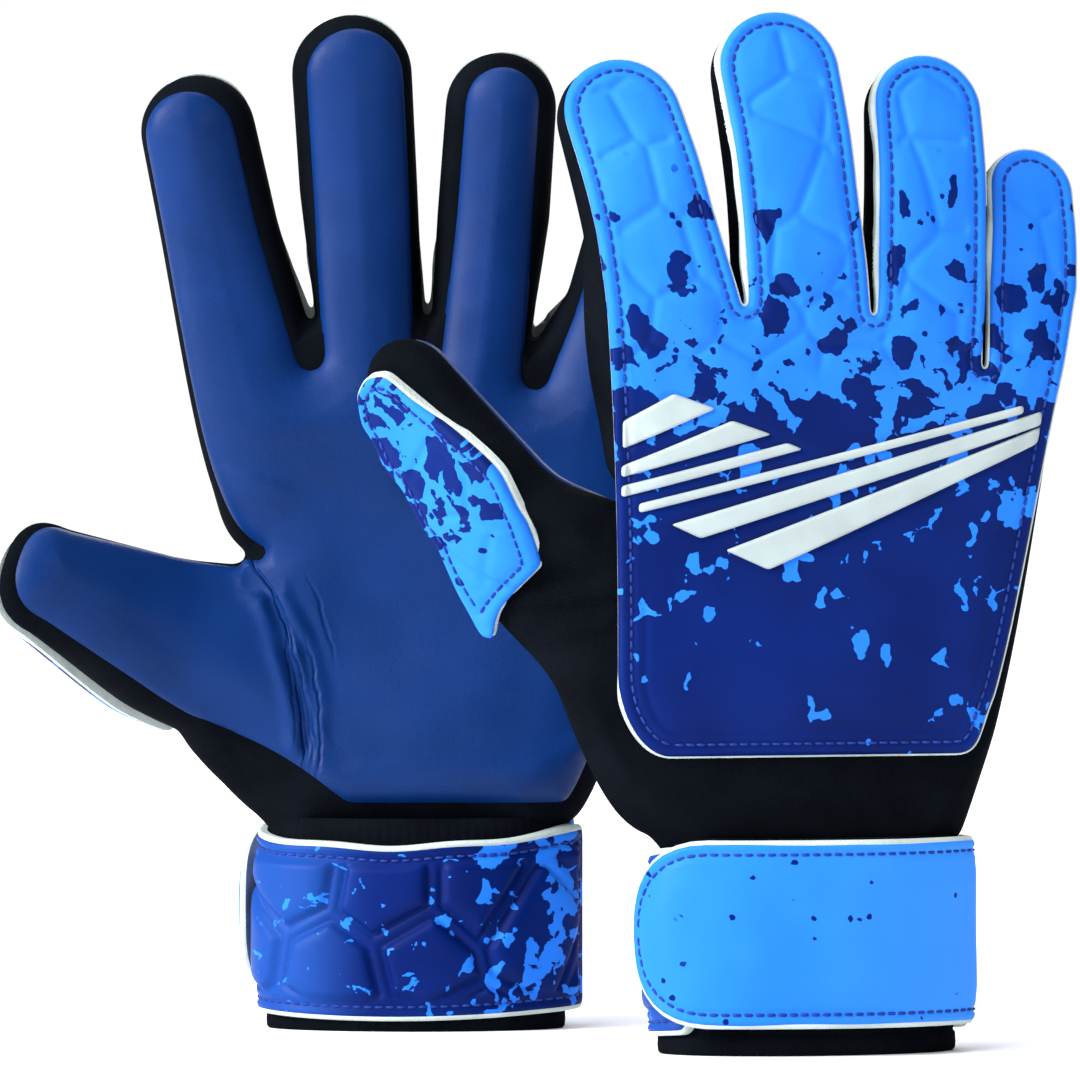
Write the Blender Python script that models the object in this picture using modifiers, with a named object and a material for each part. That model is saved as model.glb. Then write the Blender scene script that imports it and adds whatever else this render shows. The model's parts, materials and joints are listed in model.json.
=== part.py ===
"""A pair of goalkeeper gloves, standing side by side on their open cuffs.

Each glove is drawn flat, in its own plane: u runs across the hand from the thumb's side to the little
finger's side, v runs up from the cuff's rim to the fingertips, and w is the depth, towards the palm.
The left glove shows its palm to -Y and the right glove shows its back to -Y, so in both u is +X, and
the two are mirror images of each other in depth. A finger's outer half is a body of its own, which
curls about an axis across the palm's skin, and so does each thumb and each closing tab.
"""

import math

import bpy
import bmesh
from mathutils import Matrix, Vector

MM = 0.001
GAP = 0.3 * MM  # left between two pieces that touch

# Cuff and wrist strap. The cuff is an elliptic sleeve, and each layer around it is a wider ellipse.
CUFF_HALF_WIDTH = 39.0 * MM
CUFF_HALF_DEPTH = 20.0 * MM
CUFF_WALL = 3.0 * MM
CUFF_HEIGHT = 56.0 * MM
STRAP_LOW = 5.5 * MM  # lower edge of the strap above the rim
STRAP_HEIGHT = 48.5 * MM
STRAP_THICKNESS = 3.5 * MM
TAB_THICKNESS = 3.0 * MM
LOOP_THICKNESS = 1.2 * MM
BAND_ANGLES = (8.0, 214.0)  # degrees round the cuff: 0 little finger's side, 90 palm, 180 thumb's side
LOOP_ANGLES = (222.0, 340.0)
HOOK_ANGLES = (222.0, 285.0)
TAB_ANGLES = (186.0, 358.0)
TAB_ROUNDING = 24.0 * MM  # length over which the tab's end is rounded off
STEP_ANGLE = 7.5  # degrees between two columns of a sheet round the cuff

# Layers of the hand, from the palm's skin to the back of the hand.
HAND_DEPTH = 32.0 * MM
LATEX = 5.0 * MM
BACK_FABRIC = 1.2 * MM
BACK_FOAM = 2.7 * MM
BACK_SKIN = 2.0 * MM
GUSSET_WALL = 1.8 * MM
DIGIT_BACK = 4.5 * MM  # foam and skin of a finger's back in one piece
LATEX_INSET = 2.0 * MM  # how far the latex stays inside the glove's outline
EDGE_ROUND = 1.0 * MM  # chamfer of the padded pieces' edges
HINGE_GAP = 0.4 * MM  # from a joint's axis to the pieces on each side of it

# Back panel of the hand.
PANEL_BOTTOM = 77.0 * MM
PANEL_LEFT = -54.0 * MM
PANEL_WEB_RISE = 12.0 * MM  # its slits between the fingers end this far above the webs
WEB_RADIUS = 1.6 * MM
PANEL_WEB_RADIUS = 0.9 * MM

# Fingers and thumb: width at the joint and near the tip, length from joint to tip, and depth.
DIGIT_SIZES = {
    "index": {"width": 31.0 * MM, "tip": 30.0 * MM, "length": 42.0 * MM, "depth": 28.0 * MM},
    "middle": {"width": 31.0 * MM, "tip": 31.5 * MM, "length": 46.0 * MM, "depth": 28.0 * MM},
    "ring": {"width": 29.5 * MM, "tip": 29.0 * MM, "length": 43.0 * MM, "depth": 28.0 * MM},
    "little": {"width": 24.0 * MM, "tip": 22.5 * MM, "length": 34.0 * MM, "depth": 26.0 * MM},
    "thumb": {"width": 46.0 * MM, "tip": 30.0 * MM, "length": 67.0 * MM, "depth": 28.0 * MM},
}
FINGERS = ("index", "middle", "ring", "little")

# Where each glove's joints are (u, v) and how its digits point: lean from upright towards +u, roll
# about the digit's own length, and the curl that it rests in, all in degrees. The webs are the lowest
# points between two fingers.
GLOVES = {
    "left": {
        "palm_sign": -1,
        "place": (-32.0 * MM, 48.0 * MM),
        "turn": 0.0,
        "digits": {
            "index": {"at": (-51.4, 208.5), "lean": -11.5, "roll": 0.0, "curl": 12.0},
            "middle": {"at": (-15.0, 220.0), "lean": -3.1, "roll": 0.0, "curl": 10.0},
            "ring": {"at": (20.4, 213.0), "lean": 4.0, "roll": 0.0, "curl": 11.0},
            "little": {"at": (51.5, 190.0), "lean": 14.0, "roll": 0.0, "curl": 12.0},
            "thumb": {"at": (-51.5, 101.5), "lean": -74.0, "roll": 15.0, "curl": 26.0},
        },
        "webs": ((-27.7, 177.0), (3.0, 178.0), (31.5, 172.0)),
        "thenar": ((-42.0, 56.3), (-46.0, 59.0), (-56.0, 70.0)),
        "crotch": ((-50.5, 131.0), (-55.0, 150.0)),
        "heel": ((60.0, 150.0), (60.0, 80.0), (43.0, 56.3)),
        "panel_heel": ((59.0, 150.0), (57.0, 115.0), (46.0, 93.0)),
    },
    "right": {
        "palm_sign": 1,
        "place": (69.6 * MM, -48.0 * MM),
        "turn": 14.0,
        "digits": {
            "index": {"at": (-42.7, 212.0), "lean": -11.5, "roll": 0.0, "curl": 12.0},
            "middle": {"at": (-5.3, 220.0), "lean": -4.2, "roll": 0.0, "curl": 10.0},
            "ring": {"at": (30.2, 211.5), "lean": 3.4, "roll": 0.0, "curl": 11.0},
            "little": {"at": (58.0, 196.0), "lean": 5.4, "roll": 0.0, "curl": 12.0},
            "thumb": {"at": (-62.0, 129.0), "lean": -44.0, "roll": -50.0, "curl": 10.0},
        },
        "webs": ((-21.0, 180.5), (13.2, 178.0), (43.2, 164.0)),
        "thenar": ((-42.0, 56.3), (-56.0, 60.0), (-62.0, 88.0)),
        "crotch": ((-52.0, 151.0), (-56.5, 170.0)),
        "heel": ((62.0, 155.0), (55.0, 92.0), (41.0, 56.3)),
        "panel_heel": ((61.0, 168.0), (54.5, 122.0), (46.0, 92.0)),
    },
}

COLOURS = {
    "latex": ((0.02, 0.09, 0.38), 0.45),
    "print": ((0.05, 0.30, 0.90), 0.40),
    "foam": ((0.85, 0.90, 0.86), 0.80),
    "fabric": ((0.012, 0.013, 0.016), 0.85),
    "elastic": ((0.015, 0.016, 0.018), 0.75),
    "hook": ((0.03, 0.03, 0.035), 0.90),
}

COLLECTION = "goalkeeper_gloves"


# ---------------------------------------------------------------- scene and materials


def clear_scene():
    for old in list(bpy.data.objects):
        bpy.data.objects.remove(old)


def make_collection():
    collection = bpy.data.collections.new(COLLECTION)
    bpy.context.scene.collection.children.link(collection)
    return collection


def make_materials():
    made = {}
    for name, (colour, roughness) in COLOURS.items():
        material = bpy.data.materials.new(name)
        material.use_nodes = True
        shader = material.node_tree.nodes["Principled BSDF"]
        shader.inputs["Base Color"].default_value = (*colour, 1.0)
        shader.inputs["Roughness"].default_value = roughness
        shader.inputs["Metallic"].default_value = 0.0
        made[name] = material
    return made


# ---------------------------------------------------------------- flat geometry


def bezier(start, first, second, end, count):
    """Points on a cubic curve, both ends included."""
    points = []
    for i in range(count + 1):
        t = i / count
        s = 1 - t
        point = s**3 * start + 3 * s * s * t * first + 3 * s * t * t * second + t**3 * end
        points.append(point)
    return points


def point_mm(pair):
    return Vector((pair[0] * MM, pair[1] * MM))


def inset(run, distance):
    """An open run of points moved to its left by distance, which is into the glove on a clockwise outline."""
    moved = []
    for i, point in enumerate(run):
        before = run[max(i - 1, 0)]
        after = run[min(i + 1, len(run) - 1)]
        along = (after - before).normalized()
        moved.append(point + distance * Vector((along.y, -along.x)))
    return moved


def strip_of(run, thickness):
    """A closed outline of a strip whose outer side is the run."""
    return run + inset(run, thickness)[::-1]


def digit_axes(digit):
    """Unit vectors along and across a digit in the glove's plane."""
    lean = math.radians(digit["lean"])
    along = Vector((math.sin(lean), math.cos(lean)))
    across = Vector((math.cos(lean), -math.sin(lean)))
    return along, across


def joint_end(glove, name, side):
    """Where a digit's joint meets the glove's outline, on its thumb side (-1) or little finger side (+1)."""
    digit = glove["digits"][name]
    along, across = digit_axes(digit)
    half = DIGIT_SIZES[name]["width"] / 2
    return point_mm(digit["at"]) - along * HINGE_GAP + across * side * half


def web_run(start, end, web, radius):
    """Down one finger, round the web and up the next finger."""
    centre = web + Vector((0, radius))
    steps = 6
    turn = [math.pi + math.pi * i / steps for i in range(steps + 1)]
    around = [centre + radius * Vector((math.cos(a), math.sin(a))) for a in turn]
    return [start] + around + [end]


def hand_runs(glove):
    """The glove's outline from the cuff, up the thumb's side and round to the cuff again, as six open
    runs. Between two runs lies the straight end of a digit's stub."""
    thenar = [point_mm(p) for p in glove["thenar"]]
    crotch = [point_mm(p) for p in glove["crotch"]]
    heel = [point_mm(p) for p in glove["heel"]]
    runs = [
        bezier(thenar[0], thenar[1], thenar[2], joint_end(glove, "thumb", -1), 8),
        bezier(joint_end(glove, "thumb", 1), crotch[0], crotch[1], joint_end(glove, "index", -1), 10),
    ]
    for i, web in enumerate(glove["webs"]):
        start = joint_end(glove, FINGERS[i], 1)
        end = joint_end(glove, FINGERS[i + 1], -1)
        runs.append(web_run(start, end, point_mm(web), WEB_RADIUS))
    runs.append(bezier(joint_end(glove, "little", 1), heel[0], heel[1], heel[2], 12))
    return runs


def joined(runs):
    return [point for run in runs for point in run]


def panel_outline(glove, grow):
    """Outline of the back panel: the four finger stubs and a plain shield below them. It stands
    outwards of its own line by grow."""
    left = joint_end(glove, "index", -1)
    right = joint_end(glove, "little", 1)
    heel = [point_mm(p) for p in glove["panel_heel"]]
    low_left = Vector((PANEL_LEFT + 14 * MM, PANEL_BOTTOM))
    low_right = Vector((heel[2].x - 10 * MM, PANEL_BOTTOM))
    shoulder = Vector((PANEL_LEFT, PANEL_BOTTOM + 22 * MM))
    corner_left = bezier(low_left, low_left - Vector((9 * MM, 0)), shoulder - Vector((0, 12 * MM)), shoulder, 6)
    side_left = bezier(shoulder, Vector((PANEL_LEFT, 0.125)), Vector((PANEL_LEFT, 0.165)), left, 6)
    runs = [corner_left + side_left[1:]]
    for i, web in enumerate(glove["webs"]):
        start = joint_end(glove, FINGERS[i], 1)
        end = joint_end(glove, FINGERS[i + 1], -1)
        lifted = point_mm(web) + Vector((0, PANEL_WEB_RISE))
        runs.append(web_run(start, end, lifted, PANEL_WEB_RADIUS))
    side_right = bezier(right, heel[0], heel[1], heel[2], 7)
    corner_right = bezier(heel[2], heel[2] - Vector((4 * MM, 9 * MM)), low_right + Vector((7 * MM, 0)), low_right, 6)
    runs.append(side_right + corner_right[1:])
    return joined([inset(run, -grow) for run in runs])


def digit_outline(name, inset_by, arc_steps=12):
    """A digit beyond its joint, as (across, along): up one side, round the tip and down the other."""
    size = DIGIT_SIZES[name]
    tip_radius = size["tip"] / 2 - inset_by
    base = size["width"] / 2 - inset_by
    centre = Vector((0, size["length"] - size["tip"] / 2))
    points = [Vector((-base, HINGE_GAP))]
    for i in range(arc_steps + 1):
        angle = math.pi - math.pi * i / arc_steps
        points.append(centre + tip_radius * Vector((math.cos(angle), math.sin(angle))))
    points.append(Vector((base, HINGE_GAP)))
    return points


# ---------------------------------------------------------------- solids


class Builder:
    """Makes the named solids of one glove."""

    def __init__(self, side, glove, collection, materials):
        self.side = side
        self.glove = glove
        self.palm_sign = glove["palm_sign"]
        self.collection = collection
        self.materials = materials
        self.root = self.empty("glove", None, Matrix.Identity(4))

    def empty(self, name, parent, matrix):
        frame = bpy.data.objects.new(f"{self.side}_{name}_frame", None)
        self.collection.objects.link(frame)
        frame.parent = parent
        frame.matrix_basis = matrix
        return frame

    def finish(self, name, data, parent, material):
        solid = bpy.data.objects.new(f"{self.side}_{name}", data)
        data.materials.append(self.materials[material])
        self.collection.objects.link(solid)
        solid.parent = parent
        return solid

    def plate(self, name, outline, depth_from, depth_to, parent, material, rounded=0.0):
        """A flat piece cut to outline, between two depths that are counted towards the palm."""
        curve = bpy.data.curves.new(f"{self.side}_{name}", "CURVE")
        curve.dimensions = "2D"
        curve.fill_mode = "BOTH"
        curve.extrude = abs(depth_to - depth_from) / 2 - rounded
        curve.bevel_depth = rounded
        curve.bevel_resolution = 0
        curve.offset = -rounded
        spline = curve.splines.new("POLY")
        spline.points.add(len(outline) - 1)
        spline.use_cyclic_u = True
        for target, point in zip(spline.points, outline):
            target.co = (point.x, point.y, 0.0, 1.0)
        solid = self.finish(name, curve, parent, material)
        solid.location = (0.0, self.palm_sign * (depth_from + depth_to) / 2, 0.0)
        solid.rotation_euler = (math.pi / 2, 0.0, 0.0)

    def cuff_point(self, angle, height):
        """The point that far above the cuff's outer face, at an angle in degrees round it."""
        turn = math.radians(angle)
        across = (CUFF_HALF_WIDTH + height) * math.cos(turn)
        depth = (CUFF_HALF_DEPTH + height) * math.sin(turn)
        return Vector((across, self.palm_sign * depth, 0.0))

    def around_cuff(self, name, angles, offset, thickness, low, height, parent, material, rounding=0.0):
        """A sheet bent round the cuff, between two angles, whose first end may be rounded off."""
        count = max(2, round((angles[1] - angles[0]) / STEP_ANGLE))
        step = (angles[1] - angles[0]) / count
        points = [self.cuff_point(angles[0] + step * i, offset + thickness / 2) for i in range(count + 1)]
        mesh = bpy.data.meshes.new(f"{self.side}_{name}")
        shape = bmesh.new()
        travelled = 0.0
        columns = []
        for i, point in enumerate(points):
            if i:
                travelled += (point - points[i - 1]).length
            half = height / 2
            if travelled < rounding:
                left = 1 - travelled / rounding
                half *= max(0.3, math.sqrt(1 - left * left))
            middle = low + height / 2
            ends = [Vector((point.x, point.y, middle - half)), Vector((point.x, point.y, middle + half))]
            columns.append([shape.verts.new(end) for end in ends])
        for one, two in zip(columns, columns[1:]):
            shape.faces.new((one[0], two[0], two[1], one[1]))
        bmesh.ops.recalc_face_normals(shape, faces=shape.faces)
        shape.to_mesh(mesh)
        shape.free()
        sheet = self.finish(name, mesh, parent, material)
        if parent is not self.root:
            sheet.location = -parent.location
        self.solidify(sheet, thickness, 0.0)

    def solidify(self, sheet, thickness, offset):
        modifier = sheet.modifiers.new("thickness", "SOLIDIFY")
        modifier.thickness = thickness
        modifier.offset = offset
        modifier.use_even_offset = True

    def cuff(self):
        """The elastic sleeve round the wrist, open at both ends."""
        shape = bmesh.new()
        bmesh.ops.create_cone(
            shape,
            cap_ends=False,
            segments=round(360 / STEP_ANGLE),
            radius1=1.0,
            radius2=1.0,
            depth=CUFF_HEIGHT,
        )
        scale = Vector((CUFF_HALF_WIDTH, CUFF_HALF_DEPTH, 1.0))
        bmesh.ops.scale(shape, vec=scale, verts=shape.verts)
        bmesh.ops.translate(shape, vec=(0.0, 0.0, CUFF_HEIGHT / 2), verts=shape.verts)
        bmesh.ops.recalc_face_normals(shape, faces=shape.faces)
        mesh = bpy.data.meshes.new(f"{self.side}_cuff")
        shape.to_mesh(mesh)
        shape.free()
        sleeve = self.finish("cuff", mesh, self.root, "elastic")
        self.solidify(sleeve, CUFF_WALL, -1.0)

    def strap(self):
        """The wrist strap: its sewn band, its closing tab, and the two halves of the closure."""
        loop_top = GAP + LOOP_THICKNESS
        tab_low = GAP + STRAP_THICKNESS + GAP
        hook_low = loop_top + GAP
        hook_thickness = tab_low - GAP - hook_low
        margin = 3 * MM
        patch_low = STRAP_LOW + margin
        patch_height = STRAP_HEIGHT - 2 * margin
        hook_margin = 9 * MM
        self.around_cuff(
            "strap_band", BAND_ANGLES, GAP, STRAP_THICKNESS, STRAP_LOW, STRAP_HEIGHT, self.root, "print"
        )
        self.around_cuff(
            "loop_patch", LOOP_ANGLES, GAP, LOOP_THICKNESS, patch_low, patch_height, self.root, "hook"
        )
        hinge = self.cuff_point(TAB_ANGLES[1], tab_low + TAB_THICKNESS / 2)
        tab_frame = self.empty("strap", self.root, Matrix.Translation(hinge))
        self.around_cuff(
            "strap_tab",
            TAB_ANGLES,
            tab_low,
            TAB_THICKNESS,
            STRAP_LOW,
            STRAP_HEIGHT,
            tab_frame,
            "print",
            TAB_ROUNDING,
        )
        self.around_cuff(
            "hook_patch",
            HOOK_ANGLES,
            hook_low,
            hook_thickness,
            STRAP_LOW + hook_margin,
            STRAP_HEIGHT - 2 * hook_margin,
            tab_frame,
            "hook",
        )

    def hand(self):
        """The palm, the back in its three layers, and the six strips that close the sides."""
        runs = hand_runs(self.glove)
        palm = HAND_DEPTH / 2
        back = -HAND_DEPTH / 2
        skin_in = back + BACK_SKIN
        foam_out = skin_in + GAP
        foam_in = foam_out + BACK_FOAM
        fabric_out = foam_in + GAP
        fabric_in = fabric_out + BACK_FABRIC
        latex_runs = [inset(run, LATEX_INSET) for run in runs]
        self.plate("palm_latex", joined(latex_runs), palm - LATEX, palm, self.root, "latex", EDGE_ROUND)
        self.plate("back_fabric", joined(runs), fabric_out, fabric_in, self.root, "fabric")
        self.plate("backhand_foam", panel_outline(self.glove, 0.0), foam_out, foam_in, self.root, "foam")
        shrunk = panel_outline(self.glove, -0.6 * MM)
        self.plate("backhand_panel", shrunk, back, skin_in, self.root, "print", 0.6 * MM)
        names = ("thenar", "thumb_web", "index_web", "middle_web", "ring_web", "heel")
        for name, run in zip(names, runs):
            strip = strip_of(run, GUSSET_WALL)
            self.plate(f"{name}_gusset", strip, fabric_in + GAP, palm - LATEX - GAP, self.root, "fabric")

    def digit(self, name):
        """One digit beyond its joint: latex pad, back, and the gusset that closes its sides and tip."""
        size = DIGIT_SIZES[name]
        pose = self.glove["digits"][name]
        u, v = point_mm(pose["at"])
        place = Matrix.Translation((u, self.palm_sign * HAND_DEPTH / 2, v))
        lean = Matrix.Rotation(math.radians(pose["lean"]), 4, "Y")
        roll = Matrix.Rotation(math.radians(pose["roll"]), 4, "Z")
        curl = Matrix.Rotation(-self.palm_sign * math.radians(pose["curl"]), 4, "X")
        frame = self.empty(name, self.root, place @ lean @ roll @ curl)
        back_in = -size["depth"] + DIGIT_BACK
        pad = digit_outline(name, LATEX_INSET)
        back = digit_outline(name, 0.0)
        outer = digit_outline(name, 0.0)
        wall = outer + digit_outline(name, GUSSET_WALL)[::-1]
        self.plate(f"{name}_latex", pad, -LATEX, 0.0, frame, "latex", EDGE_ROUND)
        self.plate(f"{name}_back", back, -size["depth"], back_in, frame, "print", EDGE_ROUND)
        self.plate(f"{name}_gusset", wall, back_in + GAP, -LATEX - GAP, frame, "fabric")

    def place(self):
        """Turns the glove about its upright axis and sets it in its place."""
        x, y = self.glove["place"]
        turn = Matrix.Rotation(math.radians(self.glove["turn"]), 4, "Z")
        self.root.matrix_basis = Matrix.Translation((x, y, 0.0)) @ turn

    def build(self):
        self.cuff()
        self.strap()
        self.hand()
        for name in DIGIT_SIZES:
            self.digit(name)
        self.place()


def centre_pair(builders):
    """Moves both gloves together, so that the middle of the pair's box stands over the origin."""
    bpy.context.view_layer.update()
    graph = bpy.context.evaluated_depsgraph_get()
    low = Vector((math.inf,) * 3)
    high = Vector((-math.inf,) * 3)
    for solid in bpy.data.objects:
        if solid.type == "EMPTY":
            continue
        mesh = solid.evaluated_get(graph).to_mesh()
        for vertex in mesh.vertices:
            point = solid.matrix_world @ vertex.co
            low = Vector(map(min, low, point))
            high = Vector(map(max, high, point))
        solid.evaluated_get(graph).to_mesh_clear()
    middle = (low + high) / 2
    for builder in builders:
        builder.root.location.x -= middle.x
        builder.root.location.y -= middle.y


def main():
    clear_scene()
    collection = make_collection()
    materials = make_materials()
    builders = [Builder(side, glove, collection, materials) for side, glove in GLOVES.items()]
    for builder in builders:
        builder.build()
    centre_pair(builders)


main()
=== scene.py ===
"""Looks of a pair of goalkeeper gloves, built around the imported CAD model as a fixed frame.

A soft piece of the hand starts as a flat pattern in millimetres: u runs across the hand from the thumb's
side, v up from the cuff's rim, and a height is counted towards the palm from the palm's skin. The wrist's
patterns run round the cuff, and their heights are counted outwards. A pattern is filled with triangles, given
its padded profile, seams and sewn channels, and bent into the glove's rest pose about the frame's own joints.
One that crosses a joint is cut into a piece for each body.
"""

import json
import math
import random

import bpy
import numpy as np
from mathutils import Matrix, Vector, geometry, kdtree


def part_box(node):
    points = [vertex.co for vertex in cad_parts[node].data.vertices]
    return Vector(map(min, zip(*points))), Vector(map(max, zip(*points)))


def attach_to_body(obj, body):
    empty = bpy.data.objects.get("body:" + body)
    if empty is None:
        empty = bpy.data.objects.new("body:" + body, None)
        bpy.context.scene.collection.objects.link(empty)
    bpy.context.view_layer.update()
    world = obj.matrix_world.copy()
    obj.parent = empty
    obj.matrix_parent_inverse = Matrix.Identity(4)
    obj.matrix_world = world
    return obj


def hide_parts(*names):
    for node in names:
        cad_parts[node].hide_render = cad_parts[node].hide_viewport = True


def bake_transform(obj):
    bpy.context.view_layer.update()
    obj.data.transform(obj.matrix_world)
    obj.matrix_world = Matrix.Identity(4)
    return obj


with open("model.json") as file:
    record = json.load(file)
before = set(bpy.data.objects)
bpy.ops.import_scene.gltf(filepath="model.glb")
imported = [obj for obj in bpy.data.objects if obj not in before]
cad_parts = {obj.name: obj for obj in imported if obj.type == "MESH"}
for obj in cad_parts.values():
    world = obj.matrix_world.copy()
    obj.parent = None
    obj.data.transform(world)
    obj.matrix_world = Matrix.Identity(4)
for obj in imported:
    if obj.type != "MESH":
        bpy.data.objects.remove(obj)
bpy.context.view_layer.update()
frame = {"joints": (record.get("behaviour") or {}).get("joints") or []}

JOINTS = {joint["name"]: joint for joint in frame["joints"]}
TO_MM = 1000.0
FINGERS = ("index", "middle", "ring", "little")
DIGITS = FINGERS + ("thumb",)

# The CAD model's sizes, in millimetres.
PALM = 16.0  # the palm's skin in front of the cuff's middle
HAND_DEPTH = 32.0
SIZES = {  # width at the joint and at the tip, length from the joint, depth
    "index": (31.0, 30.0, 42.0, 28.0),
    "middle": (31.0, 31.5, 46.0, 28.0),
    "ring": (29.5, 29.0, 43.0, 28.0),
    "little": (24.0, 22.5, 34.0, 26.0),
    "thumb": (46.0, 30.0, 67.0, 28.0),
}
CUFF_HALF = (39.0, 20.0)
STRAP_LOW, STRAP_TOP = 5.5, 54.0

# The bent rest pose: digits' lean, roll and curl in degrees, and the runs of the outline between them.
GLOVES = {
    "left": {
        "lean": {"index": -11.5, "middle": -3.1, "ring": 4.0, "little": 14.0, "thumb": -72.5},
        "curl": {"index": 12.0, "middle": 10.0, "ring": 11.0, "little": 12.0, "thumb": 26.0},
        "roll": 15.0,
        "webs": ((-27.7, 177.0), (3.0, 178.0), (31.5, 172.0)),
        "thenar": ((-42.0, 56.3), (-46.0, 59.0), (-56.0, 70.0)),
        "crotch": ((-54.0, 134.0), (-57.5, 152.0)),
        "heel": ((60.0, 150.0), (60.0, 80.0), (43.0, 56.3)),
        "panel_heel": ((59.0, 150.0), (57.0, 115.0), (46.0, 93.0)),
        # how far the latex stays inside the outline, on the thumb's and on the little finger's side
        "latex": {"index": (1.3, 5.0), "middle": (3.5, 2.2), "ring": (4.7, 4.0), "little": (3.2, 2.4),
                  "thumb": (3.2, 1.6)},
        "latex_thenar": ((-17.5, 60.0), (-24.0, 64.0), (-31.0, 73.0)),
        "latex_heel": ((57.0, 150.0), (56.0, 84.0), (39.5, 60.0)),
        "panel_left": -47.5,
        "panel_waist": 5.0,
        "thumb_fit": (0.0, -4.0, 0.8),  # slimmer on the outer side, longer, and how round the tip is
        "finger_back": (1.6, 1.0, 1.0),
    },
    "right": {
        "lean": {"index": -11.5, "middle": -4.2, "ring": 3.4, "little": 5.4, "thumb": -44.0},
        "curl": {"index": 12.0, "middle": 10.0, "ring": 11.0, "little": 12.0, "thumb": 10.0},
        "roll": -50.0,
        "webs": ((-21.0, 180.5), (13.2, 178.0), (43.2, 164.0)),
        "thenar": ((-42.0, 56.3), (-56.0, 60.0), (-62.0, 88.0)),
        "crotch": ((-53.0, 151.5), (-61.0, 176.0)),
        "heel": ((62.0, 155.0), (55.0, 92.0), (41.0, 56.3)),
        "panel_heel": ((61.0, 168.0), (54.5, 122.0), (46.0, 92.0)),
        "latex": {"index": (2.5, 3.0), "middle": (3.0, 3.0), "ring": (3.0, 3.0), "little": (3.0, 2.5),
                  "thumb": (4.0, 2.2)},
        "latex_thenar": ((-20.0, 60.0), (-30.0, 66.0), (-44.0, 84.0)),
        "latex_heel": ((59.0, 155.0), (52.0, 92.0), (38.5, 60.0)),
        "panel_left": -54.0,
        "panel_waist": 0.0,
        "thumb_fit": (5.0, 3.0, 1.0),
        "finger_back": (0.0, 0.2, 0.0),
    },
}
TIP_DEPTH = {  # a digit's padded depth at its tip
    "left": {"index": 19.0, "middle": 19.0, "ring": 19.0, "little": 18.0, "thumb": 13.0},
    "right": {"index": 19.0, "middle": 19.0, "ring": 19.0, "little": 18.0, "thumb": 19.0},
}
FINGER_CUT = -15.0  # a pattern is cut this far below a finger's joint, and at the thumb's joint itself
BEND_REACH = 12.0  # the rest pose bends over this much on both sides of a joint

# How the patterns are filled and edged, in millimetres.
ROW = 0.866  # the distance between staggered rows, for points one apart
BODY_SPACING, LATEX_SPACING, FOAM_SPACING = 2.0, 1.35, 2.4
PRINT_SPACING = {"left": 1.3, "right": 0.85}  # finer on the back that the camera sees
THUMB_PRINT_SPACING = 0.85
LATEX_EDGE = 9.5  # how far in from its rim the latex is rounded
BACK_SEAM, THUMB_SEAM, BAND_SEAM, TAB_SEAM = 3.1, 2.7, 3.2, 3.0  # the seams' distances to the rims
BACK_CELLS, THUMB_CELLS, BAND_CELLS = (19.0, 11), (17.0, 4), (27.0, 3, 0.3)  # pitch, seed and unevenness
STITCH, STITCH_GAP, THREAD_RADIUS = 2.3, 0.55, 0.4


# ------------------------------------------------------------------ numbers


def smooth(x, low, high):
    t = np.clip((x - low) / (high - low), 0.0, 1.0)
    return t * t * (3.0 - 2.0 * t)


def ridge(x, middle, width):
    """1 at the middle, and soon 0 on both sides of it."""
    return np.exp(-(((x - middle) / width) ** 2))


def dome(distance, radius):
    """A quarter circle, from 0 at the rim to 1 at the radius."""
    t = np.clip(distance / radius, 0.0, 1.0)
    return np.sqrt(np.clip(1.0 - (1.0 - t) ** 2, 0.0, 1.0))


def ripple(points, wavelength, seed, waves=9):
    """Smooth, seeded bumps between about -1 and 1."""
    draw = random.Random(seed)
    total = np.zeros(len(points))
    for _ in range(waves):
        angle = draw.uniform(0.0, math.tau)
        pace = math.tau / (wavelength * draw.uniform(0.7, 1.5))
        along = points[:, 0] * math.cos(angle) + points[:, 1] * math.sin(angle)
        total += np.sin(pace * along + draw.uniform(0.0, math.tau))
    return total / waves * 1.6


def bezier(start, first, second, end, count=24):
    t = np.linspace(0.0, 1.0, count + 1)[:, None]
    s = 1.0 - t
    p = [np.array(x, float) for x in (start, first, second, end)]
    return s**3 * p[0] + 3 * s * s * t * p[1] + 3 * s * t * t * p[2] + t**3 * p[3]


def resample(loop, spacing, closed=True):
    """Points at even distances along a line."""
    line = np.vstack([loop, loop[:1]]) if closed else np.array(loop, float)
    length = np.concatenate([[0.0], np.cumsum(np.linalg.norm(np.diff(line, axis=0), axis=1))])
    count = max(4, round(length[-1] / spacing))
    at = np.linspace(0.0, length[-1], count + 1)
    even = np.column_stack([np.interp(at, length, line[:, i]) for i in (0, 1)])
    return even[:-1] if closed else even


def relaxed(loop, rounds):
    """The closed line with its corners eased."""
    for _ in range(rounds):
        loop = 0.5 * loop + 0.25 * (np.roll(loop, 1, 0) + np.roll(loop, -1, 0))
    return loop


def area_of(loop):
    x, y = loop[:, 0], loop[:, 1]
    return 0.5 * float(np.sum(x * np.roll(y, -1) - y * np.roll(x, -1)))


def counter_clockwise(loop):
    return loop if area_of(loop) > 0 else loop[::-1].copy()


def inward(loop):
    """Unit vectors into a counter-clockwise loop."""
    along = np.roll(loop, -1, 0) - np.roll(loop, 1, 0)
    along /= np.maximum(np.linalg.norm(along, axis=1, keepdims=True), 1e-9)
    return np.column_stack([-along[:, 1], along[:, 0]])


def segment_distance(points, a, b):
    ab = b - a
    t = np.clip(np.sum((points - a) * ab, 1) / np.maximum(np.sum(ab * ab, -1), 1e-12), 0.0, 1.0)
    return np.linalg.norm(points - a - t[:, None] * ab, axis=1)


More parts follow.
